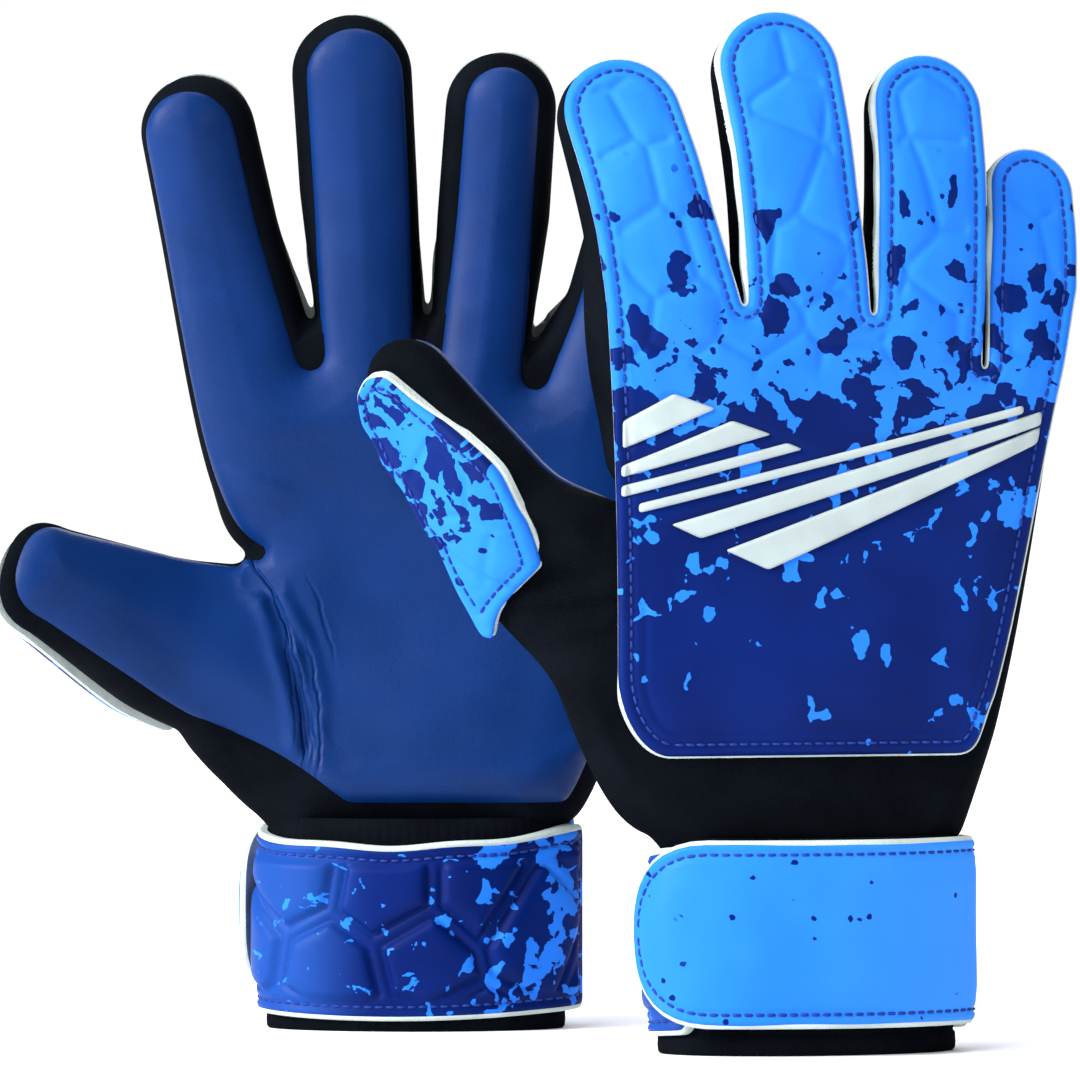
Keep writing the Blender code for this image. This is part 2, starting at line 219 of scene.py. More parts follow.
def loop_distance(points, loop):
    """Distance of each point to a finely drawn closed loop."""
    tree = kdtree.KDTree(len(loop))
    for i, p in enumerate(loop):
        tree.insert((p[0], p[1], 0.0), i)
    tree.balance()
    near = np.array([tree.find((p[0], p[1], 0.0))[1] for p in points])
    n = len(loop)
    before, after = loop[(near - 1) % n], loop[(near + 1) % n]
    here = loop[near]
    return np.minimum(segment_distance(points, before, here), segment_distance(points, here, after))


def line_distance(points, line):
    """Distance of each point to an open line of a few points."""
    best = np.full(len(points), np.inf)
    for a, b in zip(line, line[1:]):
        a, b = np.array(a, float), np.array(b, float)
        best = np.minimum(best, segment_distance(points, a, b[None, :] + 0.0 * points))
    return best


def cell_edges(points, pitch, seed, jitter=0.32):
    """Distance of each point to the border between two cells of an uneven honeycomb."""
    draw = random.Random(seed)
    low, high = points.min(0) - 2 * pitch, points.max(0) + 2 * pitch
    seeds = []
    row, y = 0, low[1]
    while y < high[1]:
        x = low[0] + (row % 2) * pitch / 2
        while x < high[0]:
            shake_x, shake_y = draw.uniform(-1, 1), draw.uniform(-1, 1)
            seeds.append((x + shake_x * jitter * pitch, y + shake_y * jitter * pitch))
            x += pitch
        y += pitch * 0.87
        row += 1
    seeds = np.array(seeds)
    result = np.empty(len(points))
    batch = 8000
    for start in range(0, len(points), batch):
        part = points[start : start + batch]
        squares = ((part[:, None, :] - seeds[None]) ** 2).sum(2)
        nearest = squares.argmin(1)
        apart = np.linalg.norm(seeds[nearest][:, None, :] - seeds[None], axis=2)
        gap = squares - squares[np.arange(len(part)), nearest][:, None]
        border = np.where(apart > 1e-6, gap / np.maximum(2 * apart, 1e-6), np.inf)
        result[start : start + batch] = border.min(1)
    return result


# ------------------------------------------------------------------ flat panels


def staggered(loop, spacing):
    """Points in staggered rows over a loop's box."""
    low, high = loop.min(0), loop.max(0)
    xs = np.arange(low[0], high[0], spacing)
    ys = np.arange(low[1], high[1], spacing * ROW)
    return np.array([(x + (j % 2) * spacing / 2, y) for j, y in enumerate(ys) for x in xs])


def filled(vectors, edges, rim_count, closeness):
    """Points, triangles and each point's sources, inside the loop of the first rim_count vectors."""
    made = geometry.delaunay_2d_cdt(vectors, edges, [list(range(rim_count))], 1, closeness)
    return np.array([tuple(v) for v in made[0]]), np.array([f for f in made[2] if len(f) == 3]), made[3]


def crosses(points, triangles):
    """Each triangle's cross product: a vector in space, and a number above 0 for counter-clockwise in 2-D."""
    a, b, c = (points[triangles[:, i]] for i in range(3))
    return np.cross(b - a, c - a)


def compact(triangles, count):
    """The points that the triangles use, the renumbered triangles, and the new number of each point."""
    used = np.unique(triangles)
    number = np.full(count, -1)
    number[used] = np.arange(len(used))
    return used, number[triangles], number


class Panel:
    """A flat pattern filled with points and triangles."""

    def __init__(self, loop, spacing, radius=6.0, cuts=(), edge=0.9, steps=5):
        self.loop = counter_clockwise(resample(loop, edge))
        into = inward(self.loop)
        rows = []
        for k in range(1, steps + 1):
            away = radius * (1.0 - math.cos(math.pi / 2 * k / steps))
            step = max(1, round(min(away, spacing) / edge)) if k > 2 else 1
            ring = (self.loop + into * away)[::step]
            rows.append(ring[loop_distance(ring, self.loop) > away * 0.97])
        grid = staggered(self.loop, spacing)
        rows.append(grid[loop_distance(grid, self.loop) > radius + 0.5 * spacing])
        points = np.vstack([self.loop] + rows)
        vectors = [Vector(p) for p in points]
        edges = []
        for cut in cuts:
            cut = resample(cut, 0.8, closed=False)
            for a, b in zip(cut, cut[1:]):
                vectors += [Vector(a), Vector(b)]
                edges.append((len(vectors) - 2, len(vectors) - 1))
        self.points, triangles, _ = filled(vectors, edges, len(self.loop), 1e-5)
        turn = crosses(self.points, triangles)
        triangles[turn < 0] = triangles[turn < 0][:, ::-1]
        self.triangles = triangles[np.abs(turn) > 1e-7]
        self.distance = loop_distance(self.points, self.loop)


def boundary(triangles):
    """The directed edges that only one triangle uses."""
    edges = np.vstack([triangles[:, [0, 1]], triangles[:, [1, 2]], triangles[:, [2, 0]]])
    known = {(a, b) for a, b in edges.tolist()}
    return [(a, b) for a, b in edges.tolist() if (b, a) not in known]


def chained(edges):
    """One closed loop of vertex numbers from directed edges; the longest if there are several."""
    follow = dict(edges)
    loops = []
    while follow:
        start = next(iter(follow))
        loop = [start]
        at = follow.pop(start)
        while at in follow and at != start:
            loop.append(at)
            at = follow.pop(at)
        loops.append(loop)
    return max(loops, key=len)


def vertex_normals(points, triangles):
    face = crosses(points, triangles)
    normals = np.zeros_like(points)
    for i in range(3):
        np.add.at(normals, triangles[:, i], face)
    return normals / np.maximum(np.linalg.norm(normals, axis=1, keepdims=True), 1e-12)


def linked(name, data):
    thing = bpy.data.objects.new(name, data)
    bpy.context.scene.collection.objects.link(thing)
    return thing


def meshed(name, points, faces, flat):
    """A smooth piece from points in millimetres, which keeps their places in its pattern for its material."""
    mesh = bpy.data.meshes.new(name)
    mesh.from_pydata((np.array(points) / TO_MM).tolist(), [], faces)
    mesh.polygons.foreach_set("use_smooth", [True] * len(faces))
    stored = mesh.attributes.new("flat", "FLOAT_VECTOR", "POINT")
    stored.data.foreach_set("vector", flat.astype(np.float32).ravel())
    mesh.update()
    return linked(name, mesh)


def underside(flat_top, triangles, rim, coarse):
    """The lower side's points and triangles, and which of its points each rim point goes to. It has few
    triangles, or the same as the top where coarse is None."""
    if coarse is None:
        return flat_top.copy(), triangles.copy(), dict(enumerate(rim))
    loop = flat_top[rim]
    grid = staggered(loop, coarse)
    grid = grid[loop_distance(grid, loop) > 0.5 * coarse]
    points, low_triangles, sources = filled([Vector(p) for p in [*loop, *grid]], [], len(loop), 1e-6)
    used, low_triangles, number = compact(low_triangles, len(points))
    where = {}
    for at, source in enumerate(sources):
        for s in source:
            if s < len(loop) and number[at] >= 0:
                where[s] = int(number[at])
    return points[used], low_triangles, where


def solid(name, panel, top, bottom, place, keep=None, coarse=5.0):
    """A closed piece from the panel: top and bottom give heights from (points, distance to the rim), and
    place turns flat points and heights into the row frame. keep says which triangles belong to it, and
    coarse how far apart the points of its underside are."""
    heights = top(panel.points, panel.distance)
    upper = place(panel.points, heights)
    normals = vertex_normals(upper, panel.triangles)
    triangles = panel.triangles if keep is None else panel.triangles[keep]
    used, triangles, _ = compact(triangles, len(upper))
    flat_top, upper, normals = panel.points[used], upper[used], normals[used]
    rim = chained(boundary(triangles))
    flat_low, low_triangles, where = underside(flat_top, triangles, rim, coarse)
    low_heights = bottom(flat_low, loop_distance(flat_low, panel.loop))
    lower = place(flat_low, low_heights)
    facing_up = crosses(flat_low, low_triangles) > 0
    low_triangles[facing_up] = low_triangles[facing_up][:, ::-1]
    first = len(upper)
    walls = []
    for i, a in enumerate(rim):
        j = (i + 1) % len(rim)
        if i in where and j in where and where[i] != where[j]:
            walls.append((rim[j], a, first + where[i], first + where[j]))
    outward = upper.mean(0) - lower.mean(0)
    if float(np.dot(crosses(upper, triangles).sum(0), outward)) < 0:
        triangles, low_triangles = triangles[:, ::-1], low_triangles[:, ::-1]
        walls = [w[::-1] for w in walls]
        normals = -normals
    points = np.vstack([upper, lower])
    low_normals = vertex_normals(lower, low_triangles)
    faces = [tuple(t) for t in triangles.tolist()]
    faces += [tuple(first + x for x in t) for t in low_triangles.tolist()]
    faces += walls
    loop_normals = [tuple(normals[v]) for t in triangles.tolist() for v in t]
    loop_normals += [tuple(low_normals[v]) for t in low_triangles.tolist() for v in t]
    for wall in walls:
        p = points[list(wall)]
        n = np.cross(p[2] - p[0], p[3] - p[1])
        loop_normals += [tuple(n / max(np.linalg.norm(n), 1e-9))] * 4
    flat = np.column_stack([np.vstack([flat_top, flat_low]), np.concatenate([heights[used], low_heights])])
    piece = meshed(name, points, faces, flat)
    piece.data.normals_split_custom_set(loop_normals)
    return piece


def domed(radius, rise, crown=0.0, crown_reach=14.0):
    """The rounded profile of a pad's edge: its height below the crown at a distance from the rim."""

    def profile(distance):
        return rise * (dome(distance, radius) - 1.0) + crown * smooth(distance, 0.0, crown_reach)

    return profile


# ------------------------------------------------------------------ one glove in space


class Glove:
    """Where a flat point of a glove goes in its rest pose, in millimetres of the row frame."""

    def __init__(self, side):
        self.side = side
        self.data = GLOVES[side]
        low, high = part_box(f"{side}_cuff")
        middle = (low + high) / 2
        self.origin = np.array([middle.x, middle.y, 0.0]) * TO_MM
        index = Vector(JOINTS[f"{side}_index_curl"]["pos_m"])
        little = Vector(JOINTS[f"{side}_little_curl"]["pos_m"])
        across = little - index
        across.z = 0.0
        across.normalize()
        self.across = np.array(across)
        self.deep = np.cross([0.0, 0.0, 1.0], self.across)
        palm = sum(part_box(f"{side}_palm_latex"), Vector()) / 2
        back = sum(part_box(f"{side}_backhand_panel"), Vector()) / 2
        self.sign = 1.0 if float(np.dot(np.array(palm - back), self.deep)) > 0 else -1.0
        self.at = {}
        for name in DIGITS:
            joint = np.array(JOINTS[f"{side}_{name}_curl"]["pos_m"]) * TO_MM - self.origin
            self.at[name] = np.array([float(joint @ self.across), joint[2]])

    def axes(self, name):
        lean = math.radians(self.data["lean"][name])
        return np.array([math.sin(lean), math.cos(lean)]), np.array([math.cos(lean), -math.sin(lean)])

    def along_across(self, name, flat):
        along, across = self.axes(name)
        moved = flat - self.at[name]
        return moved @ along, moved @ across

    def flat_of(self, name, across_by, along_by):
        along, across = self.axes(name)
        return self.at[name] + np.outer(along_by, along) + np.outer(across_by, across)

    def point(self, name, across_by, along_by):
        return self.flat_of(name, np.array([across_by]), np.array([along_by]))[0]

    def owners(self, flat):
        """For each point the digit whose pose it feels, -1 for none, and its place along and across it."""
        owner = np.full(len(flat), -1)
        s_all, a_all = np.zeros(len(flat)), np.zeros(len(flat))
        best = np.full(len(flat), 1e9)
        for number, name in enumerate(FINGERS):
            s, a = self.along_across(name, flat)
            closer = (np.abs(a) < best) & (s > -30.0) & (np.abs(a) < 24.0)
            owner[closer], s_all[closer], a_all[closer] = number, s[closer], a[closer]
            best[closer] = np.abs(a)[closer]
        s, a = self.along_across("thumb", flat)
        near = (s > -30.0) & (a > -60.0) & (a < 45.0) & (flat[:, 0] < -15.0) & (flat[:, 1] < 200.0)
        near &= (s > 0) & (np.abs(a) < 25) | (owner < 0)
        owner[near], s_all[near], a_all[near] = 4, s[near], a[near]
        return owner, s_all, a_all

    def thumb_share(self, s, a):
        """How much of the thumb's turn a point near it takes: all of it on the thumb, less in the hand."""
        hand = np.where(a > 0, 1.0 - smooth(a, 6.0, 40.0), 1.0 - smooth(-a, 20.0, 56.0))
        beyond = hand * (1.0 - smooth(s, 6.0, 30.0) * (a > 0))
        on_thumb = (s > 0) & (np.abs(a) < 24.5)
        return np.where(on_thumb, hand + (1.0 - hand) * smooth(s, 0.0, 24.0), beyond)

    def depth(self, flat, thumb=True):
        """The glove's thickness, which is less in the digits than in the hand."""
        owner, s, a = self.owners(flat)
        depth = np.full(len(flat), HAND_DEPTH)
        for number, name in enumerate(DIGITS):
            mine = owner == number
            if name == "thumb" and not thumb:
                continue
            share = self.thumb_share(s[mine], a[mine]) if name == "thumb" else 1.0
            depth[mine] += (SIZES[name][3] - HAND_DEPTH) * smooth(s[mine], -22.0, 4.0) * share
            slimmer = TIP_DEPTH[self.side][name] - SIZES[name][3]
            depth[mine] += slimmer * smooth(s[mine], 2.0, SIZES[name][2] + 4.0) * share
        return depth

    def camber(self, flat):
        """How far the middle of the hand bows towards the back."""
        bow = 1.0 - np.clip((flat[:, 0] - 2.0) / 62.0, -1.0, 1.0) ** 2
        return -3.0 * bow * smooth(flat[:, 1], 62.0, 110.0)

    def place(self, flat, height, rigid=False):
        """Flat points and their heights over the palm's skin in the row frame. A rigid piece ignores
        the thumb's twist."""
        owner, s, a = self.owners(flat)
        x, z = flat[:, 0].copy(), flat[:, 1].copy()
        y = self.sign * (PALM + height)
        bow = self.camber(flat)
        for number, name in enumerate(DIGITS):
            mine = owner == number
            if not mine.any() or (rigid and name == "thumb"):
                continue
            sm, am, hm = s[mine], a[mine], height[mine]
            share = np.ones(len(sm))
            if name == "thumb":
                share = self.thumb_share(sm, am)
                centre = self.flat_of(name, np.zeros(1), np.zeros(1))
                fixed = float(self.camber(centre)[0])
                bow[mine] = bow[mine] * (1 - smooth(sm, -10.0, 15.0)) + fixed * smooth(sm, -10.0, 15.0)
            angle = np.maximum(math.radians(self.data["curl"][name]) * share, 1e-4)
            t = np.clip((sm + BEND_REACH) / (2 * BEND_REACH), 0.0, 1.0)
            radius = 2 * BEND_REACH / angle
            phi = angle * t
            over = np.maximum(sm - BEND_REACH, 0.0)
            under = np.minimum(sm + BEND_REACH, 0.0)
            along = -BEND_REACH + under + radius * np.sin(phi) + over * np.cos(angle)
            rise = radius * (1 - np.cos(phi)) + over * np.sin(angle)
            along = along - hm * np.sin(phi)
            rise = rise + hm * np.cos(phi)
            yy = self.sign * rise
            xx = am
            if name == "thumb":
                roll = math.radians(self.data["roll"]) * share * smooth(sm, -26.0, 18.0)
                xx, yy = am * np.cos(roll) - yy * np.sin(roll), am * np.sin(roll) + yy * np.cos(roll)
            lean = math.radians(self.data["lean"][name])
            x[mine] = self.at[name][0] + xx * math.cos(lean) + along * math.sin(lean)
            z[mine] = self.at[name][1] - xx * math.sin(lean) + along * math.cos(lean)
            y[mine] = self.sign * PALM + yy
        y = y + self.sign * bow
        return self.world(x, y, z)

    def world(self, x, y, z):
        up = np.array([0.0, 0.0, 1.0])
        return self.origin + np.outer(x, self.across) + np.outer(y, self.deep) + np.outer(z, up)

    # ---- outlines

    def finger_loop(self, name, low_side, high_side, tip):
        """Up one side of a digit, round its tip and down the other, in flat millimetres."""
        width, tip_width, length, _ = SIZES[name]
        blunt = 1.0
        if name == "thumb":
            slim, longer, blunt = self.data["thumb_fit"]
            low_side, length = low_side + slim, length + longer
        middle = (low_side - high_side) / 2
        base = (width - low_side - high_side) / 2
        radius = (tip_width - low_side - high_side) / 2
        centre = length - tip_width / 2 + (low_side + high_side) / 2 - tip
        turn = np.linspace(math.pi, 0.0, 25)
        sideways = np.sign(np.cos(turn)) * np.abs(np.cos(turn)) ** blunt
        upwards = np.clip(np.sin(turn), 0.0, 1.0) ** blunt
        across = np.concatenate([[-base], radius * sideways, [base]]) + middle
        along = np.concatenate([[0.0], centre + radius * upwards, [0.0]])
        return self.flat_of(name, across, along)

    def side_point(self, name, side, inset=0.0):
        if name == "thumb" and side < 0:
            inset += self.data["thumb_fit"][0]
        half = SIZES[name][0] / 2 - inset
        return self.point(name, side * half, 0.0)

    def web(self, centre, radius):
        turn = np.linspace(math.pi, 2 * math.pi, 9)
        return np.array(centre) + [0.0, radius] + radius * np.column_stack([np.cos(turn), np.sin(turn)])

    def fingers(self, fit, web_rise, web_radius):
        """Round the four fingers, and the webs between them. fit gives a finger's insets."""
        runs = []
        for i, name in enumerate(FINGERS):
            runs.append(self.finger_loop(name, *fit(name)))
            if i < len(FINGERS) - 1:
                runs.append(self.web(np.array(self.data["webs"][i]) + [0.0, web_rise], web_radius))
        return runs

    def body_outline(self):
        """The whole glove, down into its cuff."""
        d = self.data
        thenar, crotch, heel = d["thenar"], d["crotch"], d["heel"]
        start = self.side_point("thumb", -1)
        corner = self.point("thumb", 24.2, 0.0)
        runs = [
            np.array([(-37.5, 47.0), (-38.0, 52.0)]),
            bezier(thenar[0], thenar[1], thenar[2], start),
            self.finger_loop("thumb", 0.0, 0.6, 0.0),
            self.web(corner - [0.0, 1.2], 1.2)[2:-2],
            bezier(corner + [1.0, 1.4], crotch[0], crotch[1], self.side_point("index", -1)),
        ]
        runs += self.fingers(lambda name: (0.0, 0.0, 0.0), 9.5, 1.2)
        runs.append(bezier(self.side_point("little", 1), heel[0], heel[1], heel[2]))
        runs.append(np.array([(38.0, 52.0), (37.5, 47.0)]))
        return relaxed(resample(np.vstack(runs), 0.9), 3)

    def latex_outline(self):
        d = self.data
        inset = d["latex"]
        thenar, heel = d["latex_thenar"], d["latex_heel"]
        crotch = d["crotch"]
        start = self.side_point("thumb", -1, inset["thumb"][0])
        corner = self.point("thumb", 23.8, -2.6)
        runs = [
            bezier(thenar[0], thenar[1], thenar[2], start),
            self.finger_loop("thumb", *inset["thumb"], 2.2),
            self.web(corner, 2.6)[1:-1],
            bezier(corner + [2.4, 3.4], np.array(crotch[0]) + [1.6, 0.0], np.array(crotch[1]) + [1.6, 0.0],
                   self.side_point("index", -1, inset["index"][0])),
        ]
        runs += self.fingers(lambda name: (*inset[name], 2.4), -3.2, 3.4)
        runs.append(bezier(self.side_point("little", 1, inset["little"][1]), heel[0], heel[1], heel[2]))
        return relaxed(resample(np.vstack(runs), 0.9), 4)

    def back_outline(self, grow, wavy=0.0):
        """The back panel: the four fingers and a plain shield below them, standing out by grow."""
        d = self.data
        heel = d["panel_heel"]
        edge = d["panel_left"]
        shoulder = (edge, 99.0)
        low_left, low_right = np.array([-40.0, 77.0]), np.array([heel[2][0] - 10.0, 77.0])
        runs = [
            bezier(low_left, low_left - [7.0, 0.0], (edge, 87.0), shoulder),
            bezier(shoulder, (edge + d["panel_waist"], 125.0), (edge + d["panel_waist"], 155.0),
                   self.side_point("index", -1, d["finger_back"][0]))[1:],
        ]
        runs += self.fingers(lambda name: d["finger_back"], 12.0, 0.9)
        runs.append(bezier(self.side_point("little", 1), heel[0], heel[1], heel[2]))
        runs.append(bezier(heel[2], np.array(heel[2]) - [4.0, 9.0], low_right + [7.0, 0.0], low_right)[1:])
        loop = counter_clockwise(relaxed(resample(np.vstack(runs), 0.8), 2))
        push = np.full(len(loop), grow)
        if wavy:
            height = loop[:, 1]
            outer = smooth(inward(loop)[:, 0], 0.3, 0.9) * (1.0 - smooth(loop[:, 0], -38.0, -28.0))
            push = push - 0.9 * outer * smooth(height, 90.0, 100.0)
            left = smooth(inward(loop)[:, 0], 0.3, 0.9) * smooth(loop[:, 0], -38.0, -28.0)
            wave = 0.55 + 0.45 * np.sin(height / 3.7) * np.sin(height / 9.1 + 1.0)
            push = push + wavy * left * wave * smooth(height, 192.0, 200.0)
        return loop - inward(loop) * push[:, None]

    def thumb_back_outline(self, grow):
        if self.side == "left":
            rough = self.finger_loop("thumb", -0.6, 4.0, -0.6)
        else:
            leaf = (
                (-22, -1.5), (-17, 5), (-12.5, 13), (-10.5, 20), (-12, 27), (-11, 37), (-13, 45), (-11.5, 51),
                (-12, 57), (-8, 64), (-2, 66.5), (4, 64.5), (7, 57), (10, 50), (14.5, 41), (18.5, 32),
                (20, 27), (19.5, 22), (16, 13), (11.5, 7), (7, 2.5), (-5, 1.5), (-12, 0.5), (-17.5, -1.5),
                (-20.5, -3.5),
            )
            rough = self.flat_of("thumb", *np.array(leaf, float).T)
        loop = counter_clockwise(relaxed(resample(rough, 0.8), 7))
        return loop - inward(loop) * grow

    # ---- cutting at the joints

    def cuts(self, with_thumb=True):
        lines = []
        for name in FINGERS:
            low, high = self.strip(name)
            lines.append(self.flat_of(name, np.array([low, high]), np.full(2, FINGER_CUT)))
        if with_thumb:
            lines.append(self.flat_of("thumb", np.array([-30.0, 22.8, 24.6]), np.array([0.0, 0.0, 6.0])))
        return lines

    def strip(self, name):
        """How far a finger's cut reaches to both sides: further where no finger is beside it."""
        half = SIZES[name][0] / 2
        return -half - (6.0 if name == "index" else 0.8), half + (6.0 if name == "little" else 0.8)

    def part_of(self, panel):
        """The digit that each of a panel's triangles belongs to, -1 for the hand, found from where the
        triangle's middle lies along and across each digit, beyond its cut."""
        triangles, points = panel.triangles, panel.points
        middles = points[triangles].mean(1)
        label = np.full(len(triangles), -1)
        for number, name in enumerate(FINGERS):
            s, a = self.along_across(name, middles)
            low, high = self.strip(name)
            label[(s > FINGER_CUT) & (a > low) & (a < high)] = number
        s, a = self.along_across("thumb", middles)
        line = 22.8 + (24.6 - 22.8) * s / 6.0
        label[(s > 0) & (a < np.minimum(line, 24.6)) & (a > -26.0)] = 4
        return label


def body_name(part):
    return "hand" if part < 0 else DIGITS[part]


def attach(glove, piece, part):
    """The piece rides on the hand; a digit's piece only has its transform baked into its points."""
    side = glove.side
    if part < 0:
        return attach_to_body(piece, f"{side}_hand")
    name = DIGITS[part]
    ends = (0.0, 24.0) if name == "thumb" else (-12.0, 12.0)
    at = glove.flat_of(name, np.zeros(2), np.array(ends))
    start, end = glove.place(at, np.full(2, -14.0)) / TO_MM
    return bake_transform(piece)


# ------------------------------------------------------------------ materials


class Graph:
    """Builds a node material in short steps."""

    def __init__(self, name):
        self.material = bpy.data.materials.new(name)
        self.material.use_nodes = True
        self.tree = self.material.node_tree
        self.shader = self.tree.nodes["Principled BSDF"]
        self.out = self.tree.nodes["Material Output"]

    def node(self, kind, settings=None, **inputs):
        node = self.tree.nodes.new(kind)
        for key, value in (settings or {}).items():
            setattr(node, key, value)
        for key, value in inputs.items():
            socket = node.inputs[int(key[1:])] if key[0] == "i" and key[1:].isdigit() else node.inputs[key]
            if isinstance(value, bpy.types.NodeSocket):
                self.tree.links.new(value, socket)
            else:
                socket.default_value = value
        return node

    def math(self, operation, a, b=0.0, c=0.0):
        return self.node("ShaderNodeMath", {"operation": operation}, i0=a, i1=b, i2=c).outputs[0]

    def ramp(self, value, low, high, to_low=0.0, to_high=1.0):
        settings = {"interpolation_type": "SMOOTHSTEP"}
        node = self.node("ShaderNodeMapRange", settings, i0=value, i1=low, i2=high, i3=to_low, i4=to_high)
        return node.outputs[0]

    def mix(self, factor, a, b):
        node = self.node("ShaderNodeMix", {"data_type": "RGBA"}, i0=factor, i6=a, i7=b)
        return node.outputs[2]

    def flat(self):
        return self.node("ShaderNodeAttribute", {"attribute_name": "flat"}).outputs["Vector"]

    def scaled(self, vector, x, y=None, z=None):
        scale = (x, y if y is not None else x, z if z is not None else x)
        return self.node("ShaderNodeVectorMath", {"operation": "MULTIPLY"}, i0=vector, i1=scale).outputs[0]

    def plus(self, a, b):
        return self.node("ShaderNodeVectorMath", {"operation": "ADD"}, i0=a, i1=b).outputs[0]

    def noise(self, vector, size, detail=2.0, colour=False, roughness=0.5):
        node = self.node("ShaderNodeTexNoise", None, Vector=vector, Scale=1.0 / size, Detail=detail,
                         Roughness=roughness)
        return node.outputs["Color" if colour else "Fac"]

    def shaken(self, vector, size, amount, detail=2.0):
        """The vector pushed about by noise."""
        push = self.noise(vector, size, detail, colour=True)
        centred = self.node("ShaderNodeVectorMath", {"operation": "SUBTRACT"}, i0=push, i1=(0.5, 0.5, 0.5))
        return self.plus(vector, self.scaled(centred.outputs[0], amount * 2.0))

    def cells(self, vector, size, feature="F1", output="Distance", randomness=1.0):
        node = self.node("ShaderNodeTexVoronoi", {"feature": feature}, Vector=vector, Scale=1.0 / size,
                         Randomness=randomness)
        return node.outputs[output]

    def split(self, vector):
        return self.node("ShaderNodeSeparateXYZ", None, Vector=vector).outputs

    def bump(self, height, strength, distance, before=None):
        inputs = {"Height": height, "Strength": strength, "Distance": distance}
        if before is not None:
            inputs["Normal"] = before
        return self.node("ShaderNodeBump", None, **inputs).outputs["Normal"]

    def finish(self, colour, roughness, normal=None, **constants):
        for socket, value in (("Base Color", colour), ("Roughness", roughness), ("Normal", normal)):
            if isinstance(value, bpy.types.NodeSocket):
                self.tree.links.new(value, self.shader.inputs[socket])
            elif value is not None:
                self.shader.inputs[socket].default_value = value
        for key, value in constants.items():
            self.shader.inputs[key.replace("_", " ")].default_value = value
        return self.material


NAVY = (0.0006, 0.0118, 0.122, 1.0)
NAVY_DEEP = (0.0004, 0.0078, 0.088, 1.0)
# A brighter sky blue for one end of the tab: painted light where the lamps leave it darker.
SKY_PAINTED_LIGHT = (0.036, 0.240, 0.86, 1.0)
# A lighter royal blue that the strap's navy is mixed towards: painted sheen.
ROYAL_PAINTED_SHEEN = (0.0100, 0.0600, 0.300, 1.0)
SKY = (0.018, 0.178, 0.80, 1.0)
SKY_DEEP = (0.014, 0.158, 0.72, 1.0)


# Fine creases of the palm, each a parabola: middle, bend, its height, low and high end, depth.
FINE_CREASES = {
    "left": ((-29.5, -0.0055, 76.0, 58.0, 134.0, 1.0), (-27.4, -0.0062, 74.0, 64.0, 128.0, 0.8),
             (-25.2, -0.0048, 78.0, 58.0, 108.0, 0.6), (-31.8, -0.0040, 80.0, 70.0, 116.0, 0.5),
             (-20.5, -0.0060, 84.0, 92.0, 124.0, 0.45)),
    "right": ((-26.0, -0.0050, 76.0, 66.0, 146.0, 1.0), (-23.0, -0.0050, 80.0, 74.0, 136.0, 0.6)),
}


def latex_material(side):
    g = Graph(f"{side}_glove_latex")
    at = g.flat()
    lines = g.split(g.shaken(at, 8.0, 1.6))
    crease = 0.0
    for middle, bend, centre, low, high, deep in FINE_CREASES[side]:
        from_centre = g.math("SUBTRACT", lines[1], centre)
        curve = g.math("MULTIPLY_ADD", g.math("MULTIPLY", from_centre, from_centre), bend, middle)
        away = g.math("ABSOLUTE", g.math("SUBTRACT", lines[0], curve))
        above, below = g.ramp(lines[1], low, low + 16.0), g.ramp(lines[1], high - 16.0, high, 1.0, 0.0)
        within = g.math("MULTIPLY", above, below)
        groove = g.math("MULTIPLY", g.ramp(away, 0.0, 0.9, deep, 0.0), within)
        crease = g.math("MAXIMUM", groove, crease)
    broad = g.noise(at, 34.0, 2.0)
    grain = g.noise(at, 0.75, 3.0)
    pores = g.cells(at, 0.55)
    tone = g.mix(g.ramp(broad, 0.3, 0.7), (0.0006, 0.0165, 0.092, 1.0), (0.0010, 0.0215, 0.122, 1.0))
    tone = g.mix(g.ramp(grain, 0.35, 0.75, 0.0, 0.35), tone, (0.0020, 0.030, 0.155, 1.0))
    rough = g.ramp(broad, 0.25, 0.75, 0.40, 0.48)
    height = g.math("ADD", g.math("MULTIPLY", grain, 0.6), g.math("MULTIPLY", pores, 0.5))
    normal = g.bump(height, 0.22, 0.00022)
    normal = g.bump(g.math("SUBTRACT", 1.0, crease), 0.85, 0.0008, normal)
    return g.finish(tone, rough, normal, Specular_IOR_Level=0.12)


def fabric_material(name, size=0.9, wrinkles=True):
    g = Graph(name)
    at = g.flat()
    parts = g.split(at)
    u, v = parts[0], parts[1]
    rows = g.math("SINE", g.math("MULTIPLY", g.math("ADD", v, g.math("MULTIPLY", u, 0.12)), math.tau / size))
    loops = g.math("SINE", g.math("MULTIPLY", u, math.tau / (size * 0.8)))
    knit = g.math("MULTIPLY", rows, loops)
    fuzz = g.noise(at, 0.5, 3.0)
    broad = g.noise(at, 18.0, 3.0)
    tone = g.mix(g.ramp(broad, 0.3, 0.7), (0.0016, 0.0023, 0.0038, 1.0), (0.0030, 0.0042, 0.0066, 1.0))
    tone = g.mix(g.ramp(fuzz, 0.45, 0.8, 0.0, 0.5), tone, (0.0056, 0.0074, 0.0110, 1.0))
    height = g.math("ADD", g.math("MULTIPLY", knit, 0.35), g.math("MULTIPLY", fuzz, 0.5))
    normal = g.bump(height, 0.35, 0.0004)
    if wrinkles:
        folds = g.noise(g.scaled(g.shaken(at, 20.0, 5.0), 0.5, 1.0), 5.0, 2.0)
        normal = g.bump(folds, 0.25, 0.0012, normal)
    rough = g.ramp(fuzz, 0.2, 0.8, 0.82, 0.95)
    return g.finish(tone, rough, normal, Specular_IOR_Level=0.015)


